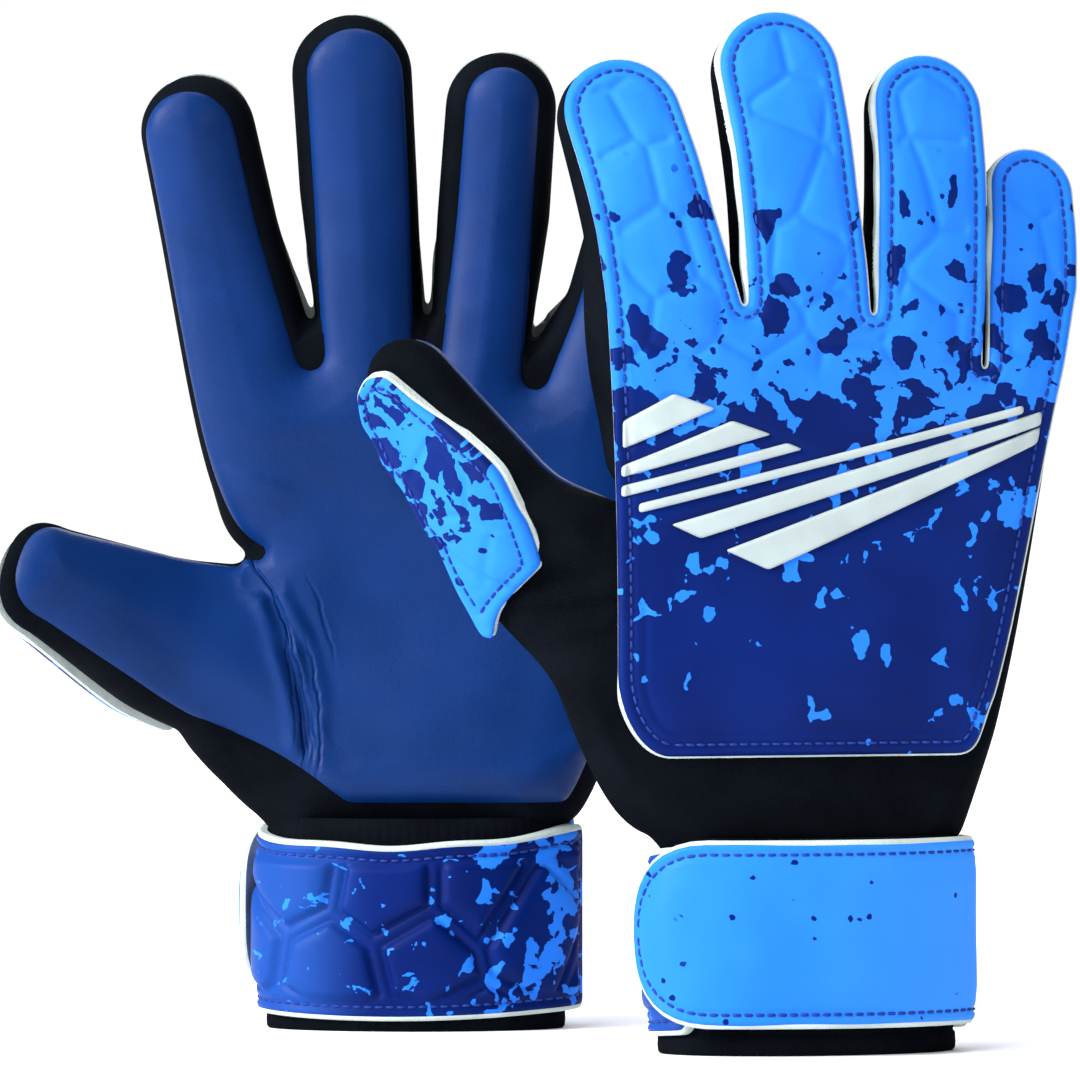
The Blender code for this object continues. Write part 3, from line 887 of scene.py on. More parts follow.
def foam_material():
    g = Graph("white_foam")
    at = g.flat()
    pores = g.cells(at, 0.7)
    broad = g.noise(at, 9.0, 3.0)
    tone = g.mix(g.ramp(broad, 0.3, 0.7), (0.41, 0.48, 0.46, 1.0), (0.51, 0.58, 0.56, 1.0))
    # The pores' hollows are painted a little darker: painted shade.
    tone = g.mix(g.ramp(pores, 0.1, 0.5, 0.2, 0.0), tone, (0.36, 0.43, 0.43, 1.0))
    normal = g.bump(pores, 0.4, 0.0003)
    return g.finish(tone, g.ramp(broad, 0.2, 0.8, 0.7, 0.85), normal, Specular_IOR_Level=0.25)


def print_material(name, thresholds, patches, flecks, cell=11.0, torn_size=10.5, drip_size=14.0, fade_and_sheen=None,
                   along=None, painted_light_span=None):
    """The printed skin. thresholds are (v, value) steps: navy shows where the torn field is above the value.
    patches says where sky blue drips get into the navy, and by how much; flecks are navy specks in the sky
    blue: where v fades them out, and their radius. fade, as (u, u, from, to), thins the drips out along u and
    lightens the navy towards royal blue there as a painted sheen, along makes v run along another direction,
    and lighter brightens the sky blue between two u as painted light."""
    g = Graph(name)
    at = g.flat()
    parts = g.split(at)
    v = parts[1]
    if along:
        v = g.math("MULTIPLY_ADD", parts[0], along[0], g.math("MULTIPLY", parts[1], along[1]))
    flatter = g.scaled(at, 1.0, 1.0, 0.0)
    torn = g.shaken(g.shaken(flatter, 11.0, 4.2, 2.0), 2.6, 0.9, 2.0)
    edge = g.cells(torn, cell, "DISTANCE_TO_EDGE")
    rough_field = g.noise(g.shaken(flatter, 7.0, 2.0), torn_size, 4.0, roughness=0.52)
    field = g.math("ADD", g.math("MULTIPLY", g.math("SUBTRACT", edge, 0.15), 0.95),
                   g.math("MULTIPLY", g.math("SUBTRACT", rough_field, 0.5), 1.0))
    level = g.ramp(v, thresholds[0][0], thresholds[1][0], thresholds[0][1], thresholds[1][1])
    for (low, before), (high, value) in zip(thresholds[1:], thresholds[2:]):
        level = g.math("ADD", level, g.ramp(v, low, high, 0.0, value - before))
    drip_field = g.noise(g.scaled(flatter, 1.0, 0.75), drip_size, 3.0)
    if fade_and_sheen:
        drip_field = g.math("SUBTRACT", drip_field, g.ramp(parts[0], *fade_and_sheen))
    drips = g.ramp(drip_field, patches[0], patches[0] + 0.09)
    level = g.math("ADD", level, g.math("MULTIPLY", drips, patches[1]))
    navy = g.ramp(g.math("SUBTRACT", field, level), -0.008, 0.008)
    speck_at = g.shaken(flatter, 1.6, 0.7)
    speck = g.cells(speck_at, 5.2)
    small = g.ramp(speck, flecks[2] - 0.02, flecks[2] + 0.02, 1.0, 0.0)
    speck_lot = g.split(g.cells(speck_at, 5.2, "F1", "Color"))[1]
    small = g.math("MULTIPLY", small, g.ramp(speck_lot, 0.62, 0.64))
    small = g.math("MULTIPLY", small, g.ramp(v, flecks[0], flecks[1], 1.0, 0.0))
    navy = g.math("MAXIMUM", navy, small)
    light = g.mix(g.ramp(g.noise(at, 26.0, 2.0), 0.3, 0.7), SKY_DEEP, SKY)
    # Between the two u of lighter the sky blue is brightened: painted light.
    if painted_light_span:
        light = g.mix(g.ramp(parts[0], *painted_light_span), light, SKY_PAINTED_LIGHT)
    dark = g.mix(g.ramp(g.noise(at, 30.0, 2.0), 0.3, 0.7), NAVY_DEEP, NAVY)
    # Past the second u of fade the navy is mixed towards royal blue: a painted sheen, not a colour of the
    # print.
    if fade_and_sheen:
        dark = g.mix(g.ramp(parts[0], fade_and_sheen[1] - 12.0, fade_and_sheen[1] + 12.0, 0.0, 0.8), dark, ROYAL_PAINTED_SHEEN)
    tone = g.mix(navy, light, dark)
    grain = g.noise(at, 0.45, 3.0)
    rough = g.ramp(grain, 0.2, 0.8, 0.36, 0.46)
    normal = g.bump(grain, 0.18, 0.00018)
    return g.finish(tone, rough, normal, Specular_IOR_Level=0.06)


def thumb_print_material(glove):
    """A thumb's print is torn camouflage, and plain next to its joint."""
    along = glove.axes("thumb")[0]
    joint = float(glove.at["thumb"] @ along)
    steps = ((joint + 15.0, 0.5), (joint + 20.0, -0.04))
    return print_material(f"{glove.side}_thumb_print", steps, (0.9, 0.0), (400.0, 410.0, 0.2), 9.0, 8.0,
                          along=tuple(map(float, along)))


def plain_material(name, colour, second, rough, size=0.5, bump=0.2, specular=0.3):
    g = Graph(name)
    at = g.flat()
    grain = g.noise(at, size, 3.0)
    broad = g.noise(at, 11.0, 2.0)
    tone = g.mix(g.ramp(broad, 0.3, 0.7), colour, second)
    normal = g.bump(grain, bump, 0.0003)
    return g.finish(tone, g.ramp(grain, 0.2, 0.8, rough, min(rough + 0.1, 1.0)), normal,
                    Specular_IOR_Level=specular)


def paint(piece, material):
    piece.data.materials.append(material)
    return piece


# ------------------------------------------------------------------ pieces of the hand


def body_shape(glove):
    """The body's palm side and back as functions of flat points and their distance to its outline."""

    def half_and_middle(flat):
        depth = glove.depth(flat)
        into_cuff = 1.0 - smooth(flat[:, 1], 52.0, 88.0)
        top = -3.8 * (1 - into_cuff) + 2.8 * into_cuff
        low = -(depth - 4.0) * (1 - into_cuff) + (-34.8) * into_cuff
        return (top - low) / 2, (top + low) / 2, into_cuff

    def profile(distance, into_cuff):
        return dome(distance, 5.0 + 34.0 * into_cuff**1.5)

    def palm_side(flat, distance):
        half, middle, into_cuff = half_and_middle(flat)
        return middle + half * profile(distance, into_cuff)

    def back_side(flat, distance):
        half, middle, into_cuff = half_and_middle(flat)
        return middle - 0.15 - half * profile(distance, into_cuff)

    return palm_side, back_side


def build_body(glove, material):
    """The stretch fabric that closes the sides: a soft hollow form from the fingertips into the cuff."""
    side = glove.side
    panel = Panel(glove.body_outline(), BODY_SPACING, 6.0, glove.cuts(), steps=6)
    labels = glove.part_of(panel)
    palm_side, back_side = body_shape(glove)

    def folds(flat, distance):
        low_zone = 1.0 - smooth(flat[:, 1], 70.0, 118.0)
        thumb_zone = smooth(-flat[:, 0], 30.0, 52.0) * (1 - smooth(flat[:, 1], 150.0, 175.0))
        strength = 0.25 + 0.9 * np.maximum(low_zone * smooth(flat[:, 1], 50.0, 60.0), thumb_zone)
        slanted = np.column_stack([flat[:, 0] * 0.45 + flat[:, 1] * 0.35, flat[:, 1]])
        return ripple(slanted, 9.0, side == "left") * strength * smooth(distance, 3.0, 10.0)

    def top(flat, distance):
        return palm_side(flat, distance) - 0.5 * np.abs(folds(flat, distance))

    def bottom(flat, distance):
        return back_side(flat, distance) + 0.9 * folds(flat, distance)

    def place(flat, height):
        points = glove.place(flat, height)
        deep = (points - glove.origin) @ glove.deep * glove.sign
        x = (points - glove.origin) @ glove.across
        limit = PALM - 28.2
        over = np.where(flat[:, 1] < 185.0, np.maximum(limit - deep, 0.0), 0.0)
        over *= smooth(x, -64.0, -57.0)
        return points + np.outer(over * glove.sign, glove.deep)

    for part in range(-1, 5):
        name = body_name(part)
        piece = solid(f"{side}_{name}_body", panel, top, bottom, place, labels == part, coarse=None)
        paint(piece, material)
        if part < 0:
            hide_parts(*[f"{side}_{x}_gusset" for x in
                                 ("thenar", "thumb_web", "index_web", "middle_web", "ring_web", "heel")],
                        f"{side}_back_fabric")
        else:
            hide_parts(f"{side}_{name}_gusset")
        attach(glove, piece, part)


# The palm's main creases: each a line and its depth.
CREASES = {
    "left": (
        (((-46.0, 131.0), (-40.6, 117.5), (-34.5, 103.3), (-30.5, 87.5), (-29.4, 75.6), (-33.0, 62.0)), 1.5),
        (((-43.0, 125.0), (-36.0, 112.0), (-29.5, 100.0), (-27.0, 85.0), (-28.6, 67.0)), 1.2),
        (((-40.0, 110.0), (-33.0, 96.0), (-29.0, 82.0), (-25.0, 60.0)), 0.7),
        (((-34.0, 118.0), (-27.0, 106.0), (-22.5, 90.0)), 0.45),
    ),
    "right": (
        (((-52.0, 150.0), (-40.0, 128.0), (-30.0, 104.0), (-26.0, 80.0)), 1.3),
        (((-48.0, 140.0), (-36.0, 118.0), (-27.0, 96.0)), 0.8),
    ),
}


# Swellings of the palm: middle, half width and height, and rise.
SWELLS = {
    "left": ((12.0, 84.0, 24.0, 24.0, 2.6), (-44.0, 96.0, 15.0, 22.0, 2.6), (-4.0, 128.0, 26.0, 18.0, -1.6),
             (0.0, 160.0, 44.0, 12.0, 1.2)),
    "right": ((12.0, 86.0, 24.0, 26.0, 2.4), (-38.0, 104.0, 14.0, 24.0, 2.0), (0.0, 132.0, 26.0, 18.0, -1.4),
              (0.0, 164.0, 44.0, 12.0, 1.2)),
}


def build_latex(glove, material):
    side = glove.side
    panel = Panel(glove.latex_outline(), LATEX_SPACING, LATEX_EDGE, glove.cuts(), steps=6)
    labels = glove.part_of(panel)
    edge = domed(LATEX_EDGE, 4.8, 1.6, 17.0)
    palm_side, _ = body_shape(glove)
    body_loop = glove.body_outline()

    def top(flat, distance):
        height = edge(distance) - 0.6
        under = palm_side(flat, loop_distance(flat, body_loop)) + 2.2 * smooth(distance, -0.5, 2.5)
        at_wrist = 1.0 - smooth(flat[:, 1], 74.0, 92.0)
        height = height + np.logaddexp(0.0, 1.4 * (under - height)) / 1.4 * at_wrist
        for u, v, wide, tall, rise in SWELLS[side]:
            bump = np.exp(-(((flat[:, 0] - u) / wide) ** 2) - ((flat[:, 1] - v) / tall) ** 2)
            height = height + rise * bump * smooth(distance, 1.0, 12.0)
        height = height + 0.5 * ripple(flat, 42.0, 5) * smooth(distance, 2.0, 14.0)
        height = height + 0.16 * ripple(flat, 13.0, 6) * smooth(distance, 2.0, 10.0)
        for line, deep in CREASES[side]:
            away = line_distance(flat, resample(np.array(line), 1.0, closed=False))
            ends = np.minimum(*(np.hypot(flat[:, 0] - x, flat[:, 1] - y) for x, y in (line[0], line[-1])))
            deep = deep * smooth(ends, 0.0, 14.0)
            fold = -0.8 * deep * ridge(away, 0.0, 1.1) + 0.6 * deep * ridge(away, 3.0, 1.8)
            height = height + fold * smooth(distance, 0.5, 4.0)
        return height

    def bottom(flat, distance):
        return np.full(len(flat), -6.4)

    for part in range(-1, 5):
        name = body_name(part)
        piece = solid(f"{side}_{name}_latex_pad", panel, top, bottom, glove.place, labels == part)
        paint(piece, material)
        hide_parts(f"{side}_palm_latex" if part < 0 else f"{side}_{name}_latex")
        attach(glove, piece, part)


def back_relief(flat, distance):
    """The skin's shape over its own padding: seam, sewn channels and the soft swelling between them."""
    border = cell_edges(flat, *BACK_CELLS)
    zone = smooth(flat[:, 1] - flat[:, 0] * 0.02, 172.0, 181.0)
    channels = -0.75 * ridge(border, 0.0, 1.15) + 0.35 * smooth(border, 1.0, 6.0)
    height = channels * zone * smooth(distance, 4.0, 6.5)
    seam = -0.75 * ridge(distance, BACK_SEAM, 0.9)
    frame_line = -0.4 * ridge(distance, 6.6, 0.8) * (1.0 - smooth(flat[:, 1], 110.0, 125.0))
    swell = 0.7 * smooth(distance, 3.6, 12.0) + 0.25 * ripple(flat, 34.0, 21) * smooth(distance, 4.0, 14.0)
    return height + seam + frame_line + swell


# The raised bars' corners on the back of the hand.
BARS = (
    ((-53.0, 163.4), (-39.9, 170.5), (-29.0, 166.6), (-53.0, 156.3)),
    ((-53.4, 151.9), (-24.7, 163.5), (-14.4, 159.9), (-53.4, 149.0)),
    ((-53.4, 146.8), (-10.1, 157.7), (-6.1, 156.0), (-53.4, 143.9)),
    ((-48.9, 142.3), (53.3, 166.9), (53.3, 164.7), (-48.9, 139.9)),
    ((-40.7, 136.9), (-33.0, 133.3), (58.4, 161.7), (58.6, 165.3)),
    ((-26.6, 130.2), (-15.2, 125.1), (57.4, 157.0), (58.2, 161.3)),
)


def bar_loop(corners):
    return relaxed(counter_clockwise(resample(np.array(corners), 0.35)), 6)


def build_back(glove, printed, foam, white, thumb_print):
    side = glove.side

    def depth_of(flat):
        return glove.depth(flat, thumb=False)

    skin_panel = Panel(glove.back_outline(-0.15), PRINT_SPACING[side], 3.0, glove.cuts(False), edge=0.8)
    foam_panel = Panel(glove.back_outline(0.3, 0.9), FOAM_SPACING, 1.2, glove.cuts(False), edge=0.8, steps=3)

    def rigid(flat, height):
        return glove.place(flat, height, rigid=True)

    skin_edge = domed(2.6, 1.7)
    first = glove.data["panel_left"] + 0.7
    bars = [bar_loop([(max(u, first + 0.1 * (u + 53.0)), v) for u, v in corners]) for corners in BARS]

    def skin_base(flat, distance):
        return -(depth_of(flat) + skin_edge(distance) + back_relief(flat, distance) - 0.4)

    def skin_height(flat, distance):
        height = skin_base(flat, distance)
        for bar in bars:
            height = height + 0.5 * ridge(loop_distance(flat, bar), 0.0, 0.8) * (flat[:, 1] > 115)
        return height

    def skin_low(flat, distance):
        return -(depth_of(flat) - 2.4)

    def foam_top(flat, distance):
        return -(depth_of(flat) - 1.8 + domed(1.3, 0.6)(distance) - 1.2 * smooth(distance, 1.2, 3.4))

    def foam_low(flat, distance):
        return -(depth_of(flat) - 4.4)

    for panel, label, top, low, material, slot in (
        (skin_panel, "back_skin", skin_height, skin_low, printed, "printed_skin"),
        (foam_panel, "back_foam", foam_top, foam_low, foam, "white_foam"),
    ):
        labels = glove.part_of(panel)
        labels[labels == 4] = -1
        for part in range(-1, 4):
            name = body_name(part)
            piece = solid(f"{side}_{name}_{label}", panel, top, low, rigid, labels == part)
            paint(piece, material)
            if label == "back_skin":
                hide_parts(f"{side}_backhand_panel" if part < 0 else f"{side}_{name}_back")
            elif part < 0:
                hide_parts(f"{side}_backhand_foam")
            attach(glove, piece, part)

    def bar_top(flat, distance):
        return skin_base(flat, loop_distance(flat, skin_panel.loop)) - 0.8 - domed(0.8, 1.0)(distance)

    def bar_low(flat, distance):
        return -(depth_of(flat) - 1.2)

    for number, loop in enumerate(bars):
        panel = Panel(loop, 1.0, 0.8, edge=0.5, steps=3)
        piece = solid(f"{side}_raised_bar_{number + 1}", panel, bar_top, bar_low, rigid)
        paint(piece, white)
        attach(glove, piece, -1)

    # the thumb's own back panel
    skin = Panel(glove.thumb_back_outline(-0.3), THUMB_PRINT_SPACING, 2.6, edge=0.8, steps=4)
    under = Panel(glove.thumb_back_outline(0.0), 4.0, 1.2, edge=0.8, steps=3)

    def thumb_skin(flat, distance):
        s, a = glove.along_across("thumb", flat)
        border = cell_edges(flat, *THUMB_CELLS)
        outward = domed(2.4, 1.6)(distance) - 0.7 * ridge(distance, THUMB_SEAM, 0.8)
        outward = outward + (-0.6 * ridge(border, 0.0, 1.1) + 0.5) * smooth(distance, 3.4, 7.0)
        outward = outward - 0.8 * ridge(a + 3.0 + 0.2 * s, 0.0, 1.4) * (1 - smooth(s, 14.0, 26.0))
        return -(glove.depth(flat) + outward + 0.2)

    def thumb_foam(flat, distance):
        s, _ = glove.along_across("thumb", flat)
        sunk = 0.8 + 2.0 * (1.0 - smooth(s, 40.0, 56.0))
        return -(glove.depth(flat) - sunk + domed(1.3, 0.9)(distance) - 1.2 * smooth(distance, 1.2, 3.4))

    for panel, label, top, low, material, slot in (
        (skin, "back_skin", thumb_skin, lambda f, d: -(glove.depth(f) - 2.6), thumb_print, "printed_skin"),
        (under, "back_foam", thumb_foam, lambda f, d: -(glove.depth(f) - 5.5), foam, "white_foam"),
    ):
        piece = solid(f"{side}_thumb_{label}", panel, top, low, glove.place)
        paint(piece, material)
        if label == "back_skin":
            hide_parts(f"{side}_thumb_back")
        attach(glove, piece, 4)
    return skin_height, thumb_skin, rigid


def stitches(name, line, height_of, place, piece_of, material):
    """Thread lying along a closed flat line: one small lozenge for each stitch, in one mesh per body."""
    steps = ring = 6  # points along a stitch, and round its thread
    line = resample(line, (STITCH + STITCH_GAP) / steps)
    groups = {}
    for i in range(0, len(line) - steps + 1, steps):
        start, end = line[i], line[i + steps - 1]
        middle = (start + end) / 2
        groups.setdefault(piece_of(middle), []).append((start, middle, end))
    made = []
    for part, items in groups.items():
        flat = np.array([p for item in items for p in item])
        heights = height_of(flat)
        base = place(flat, heights)
        up = place(flat, heights + 1.0) - base
        points, faces = [], []
        for k in range(len(items)):
            a, m, b = base[3 * k : 3 * k + 3]
            outward = -up[3 * k + 1] / max(np.linalg.norm(up[3 * k + 1]), 1e-9)
            along = (b - a) / max(np.linalg.norm(b - a), 1e-9)
            side = np.cross(along, outward)
            first = len(points)
            stops = ((a, 0.35, -0.12), (a + (m - a) * 0.35, 0.95, 0.1), (m, 1.0, 0.16),
                     (b + (m - b) * 0.35, 0.95, 0.1), (b, 0.35, -0.12))
            for centre, size, lift in stops:
                for j in range(ring):
                    turn = math.tau * j / ring
                    points.append(centre + outward * (lift + THREAD_RADIUS * size * math.sin(turn))
                                  + side * THREAD_RADIUS * size * math.cos(turn))
            for q in range(len(stops) - 1):
                for j in range(ring):
                    one, two = first + q * ring + j, first + q * ring + (j + 1) % ring
                    faces.append((one, two, two + ring, one + ring))
            faces.append(tuple(first + j for j in range(ring))[::-1])
            last = first + (len(stops) - 1) * ring
            faces.append(tuple(last + j for j in range(ring)))
        each = ring * len(stops)
        shades = np.tile(np.arange(each) * 0.3, len(items))
        values = np.column_stack([np.repeat(flat[1::3], each, axis=0), shades])
        piece = meshed(f"{name}_{part}", points, faces, values)
        piece.data.materials.append(material)
        made.append((part, piece))
    return made


def inner_line(outline, away):
    """A line that runs inside an outline at a distance from it."""
    loop = counter_clockwise(outline)
    line = loop + inward(loop) * away
    keep = loop_distance(line, loop) > away * 0.96
    return relaxed(resample(line[keep], 0.6), 4)


def build_stitches(glove, skin_height, thumb_skin, rigid, thread):
    side = glove.side
    panel_loop = counter_clockwise(glove.back_outline(-0.15))

    def height(flat):
        return skin_height(flat, loop_distance(flat, panel_loop)) - 0.1

    def part_name(middle):
        for name in FINGERS:
            s, a = glove.along_across(name, middle[None, :])
            low, high = glove.strip(name)
            if s[0] > FINGER_CUT and low < a[0] < high:
                return name
        return "hand"

    line = inner_line(panel_loop, BACK_SEAM)
    for part, piece in stitches(f"{side}_back_thread", line, height, rigid, part_name, thread):
        attach(glove, piece, -1 if part == "hand" else DIGITS.index(part))
    thumb_loop = glove.thumb_back_outline(-0.3)

    def thumb_height(flat):
        return thumb_skin(flat, loop_distance(flat, thumb_loop)) - 0.1

    line = inner_line(thumb_loop, THUMB_SEAM)
    made = stitches(f"{side}_thumb_thread", line, thumb_height, glove.place, lambda m: "thumb", thread)
    for _, piece in made:
        attach(glove, piece, 4)


# ------------------------------------------------------------------ pieces round the wrist


class Wrist:
    """Turns (distance round the cuff, height above the rim) into the row frame."""

    def __init__(self, glove, layer):
        self.glove = glove
        self.layer = layer
        self.angles = np.radians(np.arange(0.0, 361.0, 0.5))
        x = (CUFF_HALF[0] + layer) * np.cos(self.angles)
        y = (CUFF_HALF[1] + layer) * np.sin(self.angles)
        step = np.hypot(np.diff(x), np.diff(y))
        self.length = np.concatenate([[0.0], np.cumsum(step)])

    def at(self, degrees):
        return float(np.interp(math.radians(degrees), self.angles, self.length))

    def place(self, flat, height):
        angle = np.interp(flat[:, 0] % self.length[-1], self.length, self.angles)
        x = (CUFF_HALF[0] + height) * np.cos(angle)
        y = self.glove.sign * (CUFF_HALF[1] + height) * np.sin(angle)
        return self.glove.world(x, y, flat[:, 1])


def rounded_box(x0, x1, z0, z1, r0, r1):
    """A flat strip whose ends are rounded by r0 and r1."""

    def corner(cx, cz, r, start):
        turn = np.radians(np.linspace(start, start + 90, 10))
        return np.column_stack([cx + r * np.cos(turn), cz + r * np.sin(turn)])

    return np.vstack([corner(x0 + r0, z0 + r0, r0, 180), corner(x1 - r1, z0 + r1, r1, 270),
                      corner(x1 - r1, z1 - r1, r1, 0), corner(x0 + r0, z1 - r0, r0, 90)])


def build_cuff(glove, materials):
    """The ribbed elastic cuff with a turned hem, as rings of points at (height, distance outwards)."""
    side = glove.side
    rim_at = Wrist(glove, 0.0)
    around = 240
    outer = [(0.0, 0.0), (0.6, 0.55), (2.2, 0.7), (4.6, 0.6), (5.2, 0.05), (6.0, 0.0), (20.0, 0.0),
             (40.0, 0.0), (52.0, 0.1), (55.4, 0.0), (56.0, -0.7)]
    inner = [(56.0, -1.8), (54.0, -2.6), (30.0, -2.7), (8.0, -2.7), (5.0, -2.9), (1.0, -2.9), (0.2, -2.2)]
    rings = outer + inner
    points, flats, faces = [], [], []
    x = np.arange(around) * rim_at.length[-1] / around
    for z, out in rings:
        rib = 0.16 * np.sin(x * math.tau / 2.6) * (1.0 if 6.0 <= z <= 52.0 else 0.25)
        flat = np.column_stack([x, np.full(around, z)])
        points.append(rim_at.place(flat, np.full(around, -0.25 + out) + rib))
        flats.append(np.column_stack([flat, np.full(around, out)]))
    for k in range(len(rings)):
        below, above = k * around, ((k + 1) % len(rings)) * around
        for i in range(around):
            j = (i + 1) % around
            face = (below + i, below + j, above + j, above + i)
            faces.append(face if glove.sign > 0 else face[::-1])
    cuff = meshed(f"{side}_elastic_cuff", np.vstack(points), faces, np.vstack(flats))
    paint(cuff, materials["elastic"])
    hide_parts(f"{side}_cuff")
    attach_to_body(cuff, f"{side}_hand")


def build_wrist(glove, materials):
    side = glove.side
    # strap band round the palm side: foam under an embossed printed skin
    wrist = Wrist(glove, 2.0)
    low, high = STRAP_LOW, STRAP_TOP
    x0, x1 = wrist.at(3.0), wrist.at(213.0)
    length = x1 - x0

    def dip(flat):
        """The band sags between its ends, its upper edge more than its lower one."""
        t = np.clip((flat[:, 0] - x0) / length, 0.0, 1.0)
        high_part = smooth(flat[:, 1], 30.0, 54.0)
        wave = 0.35 * np.sin(flat[:, 0] / 5.2) * high_part
        return -2.6 * np.sin(math.pi * t) * (1.0 + 0.8 * high_part) + wave

    def band_place(flat, height):
        moved = flat + np.column_stack([np.zeros(len(flat)), dip(flat)])
        return wrist.place(moved, height)

    skin_loop = rounded_box(x0, x1, low + 0.5, high - 0.9, 2.5, 2.5)
    foam_loop = rounded_box(x0 - 0.4, x1 + 0.4, low, high, 3.0, 3.0)

    def flare(flat):
        """The band's first end stands off the wrist."""
        return 2.4 * (1.0 - smooth(flat[:, 0], x0 + 2.0, x0 + 20.0))

    def band_skin(flat, distance):
        border = cell_edges(flat, *BAND_CELLS)
        zone = smooth(distance, 4.2, 6.5)
        lines = 1.5 * dome(border - 1.9, 4.5) - 0.9 * ridge(border, 1.9, 0.7)
        seam = -0.8 * ridge(distance, BAND_SEAM, 0.9)
        return 3.1 + domed(2.4, 1.5)(distance) + lines * zone + seam + flare(flat)

    def band_foam(flat, distance):
        return 2.8 + domed(1.4, 0.9)(distance) - 1.3 * smooth(distance, 0.9, 2.8) + flare(flat)

    parts = [
        ("strap_band_skin", skin_loop, 0.9, 2.8, band_skin, 1.6, band_place, "band", "printed_strap"),
        ("strap_band_foam", foam_loop, 2.0, 1.4, band_foam, 0.3, band_place, "foam", "white_foam"),
    ]

    # closing tab round the back, whose free end is rounded
    outer = Wrist(glove, 5.6)
    tab_low, tab_high = STRAP_LOW + 1.8, STRAP_TOP + 1.8
    t0, t1 = outer.at(182.0), outer.at(354.0)
    fold = t1 - 13.0

    def tab_loop(grow, end=0.0):
        return rounded_box(t0 - grow, t1 + grow - end, tab_low - grow, tab_high + grow,
                           23.0 + grow, 2.0 + grow)

    def lift(flat):
        """The tab's free end lies on the band, and its other end goes under it."""
        u = flat[:, 0]
        free_end = 1.8 * (1.0 - smooth(u, t0 + 12.0, t0 + 45.0))
        return free_end + 1.2 * smooth(u, t1 - 60.0, t1 - 30.0) - 4.4 * smooth(u, t1 - 11.0, t1 - 1.0)

    def tab_skin(flat, distance):
        seam = -0.7 * ridge(distance, TAB_SEAM, 0.9)
        swell = 0.5 * smooth(distance, 4.0, 11.0) + 0.25 * ripple(flat, 30.0, 8)
        crease = -0.5 * ridge(flat[:, 0], t1 - 7.0, 1.2)
        return 6.5 + domed(2.2, 1.4)(distance) + seam + swell + crease + lift(flat)

    def tab_foam(flat, distance):
        return 5.9 + domed(1.4, 1.0)(distance) - 0.9 * smooth(distance, 1.2, 3.0) + lift(flat)

    def blend_fold(piece):
        ends = outer.place(np.array([(t1, 30.0), (fold + 1.5, 30.0)]), np.full(2, 5.6)) / TO_MM
        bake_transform(piece)

    for name, loop, spacing, radius, top, base, place, kind, slot in parts:
        panel = Panel(loop, spacing, radius, edge=0.8, steps=4)
        piece = solid(f"{side}_{name}", panel, top, lambda f, d, b=base: np.full(len(f), b), place)
        paint(piece, materials[kind])
        if kind == "band":
            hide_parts(f"{side}_strap_band")
        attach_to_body(piece, f"{side}_hand")
    for name, loop, spacing, radius, top, base, kind, slot in (
        ("strap_tab_skin", tab_loop(-0.7), 1.0, 2.6, tab_skin, 5.2, "tab", "printed_strap"),
        ("strap_tab_foam", tab_loop(0.0, 1.6), 2.0, 1.4, tab_foam, 4.2, "foam", "white_foam"),
    ):
        cut = np.array([(fold, tab_low - 3.0), (fold, tab_high + 3.0)])
        panel = Panel(loop, spacing, radius, [cut], edge=0.8, steps=4)
        near = panel.points[panel.triangles].mean(1)[:, 0] > fold
        for label, keep in (("", ~near), ("_fold", near)):
            piece = solid(f"{side}_{name}{label}", panel, top, lambda f, d, b=base: b + lift(f),
                          outer.place, keep)
            paint(piece, materials[kind])
            if label == "":
                if kind == "tab":
                    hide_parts(f"{side}_strap_tab")
                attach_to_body(piece, f"{side}_strap")
            else:
                blend_fold(piece)
    # thread on both
    for label, loop, away, height_of, place, piece_of in (
        ("strap_band_thread", skin_loop, BAND_SEAM, band_skin, band_place, lambda m: "band"),
        ("strap_tab_thread", tab_loop(-0.7), TAB_SEAM, tab_skin, outer.place,
         lambda m: "fold" if m[0] > fold else "tab"),
    ):
        ring = counter_clockwise(resample(loop, 0.6))
        for part, piece in stitches(
            f"{side}_{label}", inner_line(ring, away),
            lambda f, r=ring, h=height_of: -(h(f, loop_distance(f, r)) + 0.1),
            lambda f, h, p=place: p(f, -h), piece_of, materials["thread"],
        ):
            if part == "fold":
                blend_fold(piece)
            else:
                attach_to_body(piece, f"{side}_strap" if part == "tab" else f"{side}_hand")
    # loop and hook halves of the closure
    for name, layer, angles, z0, z1, base, height, body, material, slot in (
        ("loop_patch", 0.9, (222.0, 340.0), 8.5, 51.0, 0.2, 1.3, "hand", "loop", "loop_tape"),
        ("hook_patch", 3.0, (222.0, 285.0), 14.5, 45.0, 1.9, 4.3, "strap", "hook", "hook_tape"),
    ):
        ring = Wrist(glove, layer)
        loop = rounded_box(ring.at(angles[0]), ring.at(angles[1]), z0, z1, 3.0, 3.0)
        panel = Panel(loop, 1.2, 0.8, edge=0.9, steps=3)
        pile = domed(0.8, 0.5)
        piece = solid(f"{side}_{name}_tape", panel,
                      lambda f, d, h=height: h + pile(d) + 0.08 * ripple(f, 1.9, 2),
                      lambda f, d, b=base: np.full(len(f), b), ring.place)
        paint(piece, materials[material])
        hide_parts(f"{side}_{name}")
        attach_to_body(piece, f"{side}_{body}")


# ------------------------------------------------------------------ stage


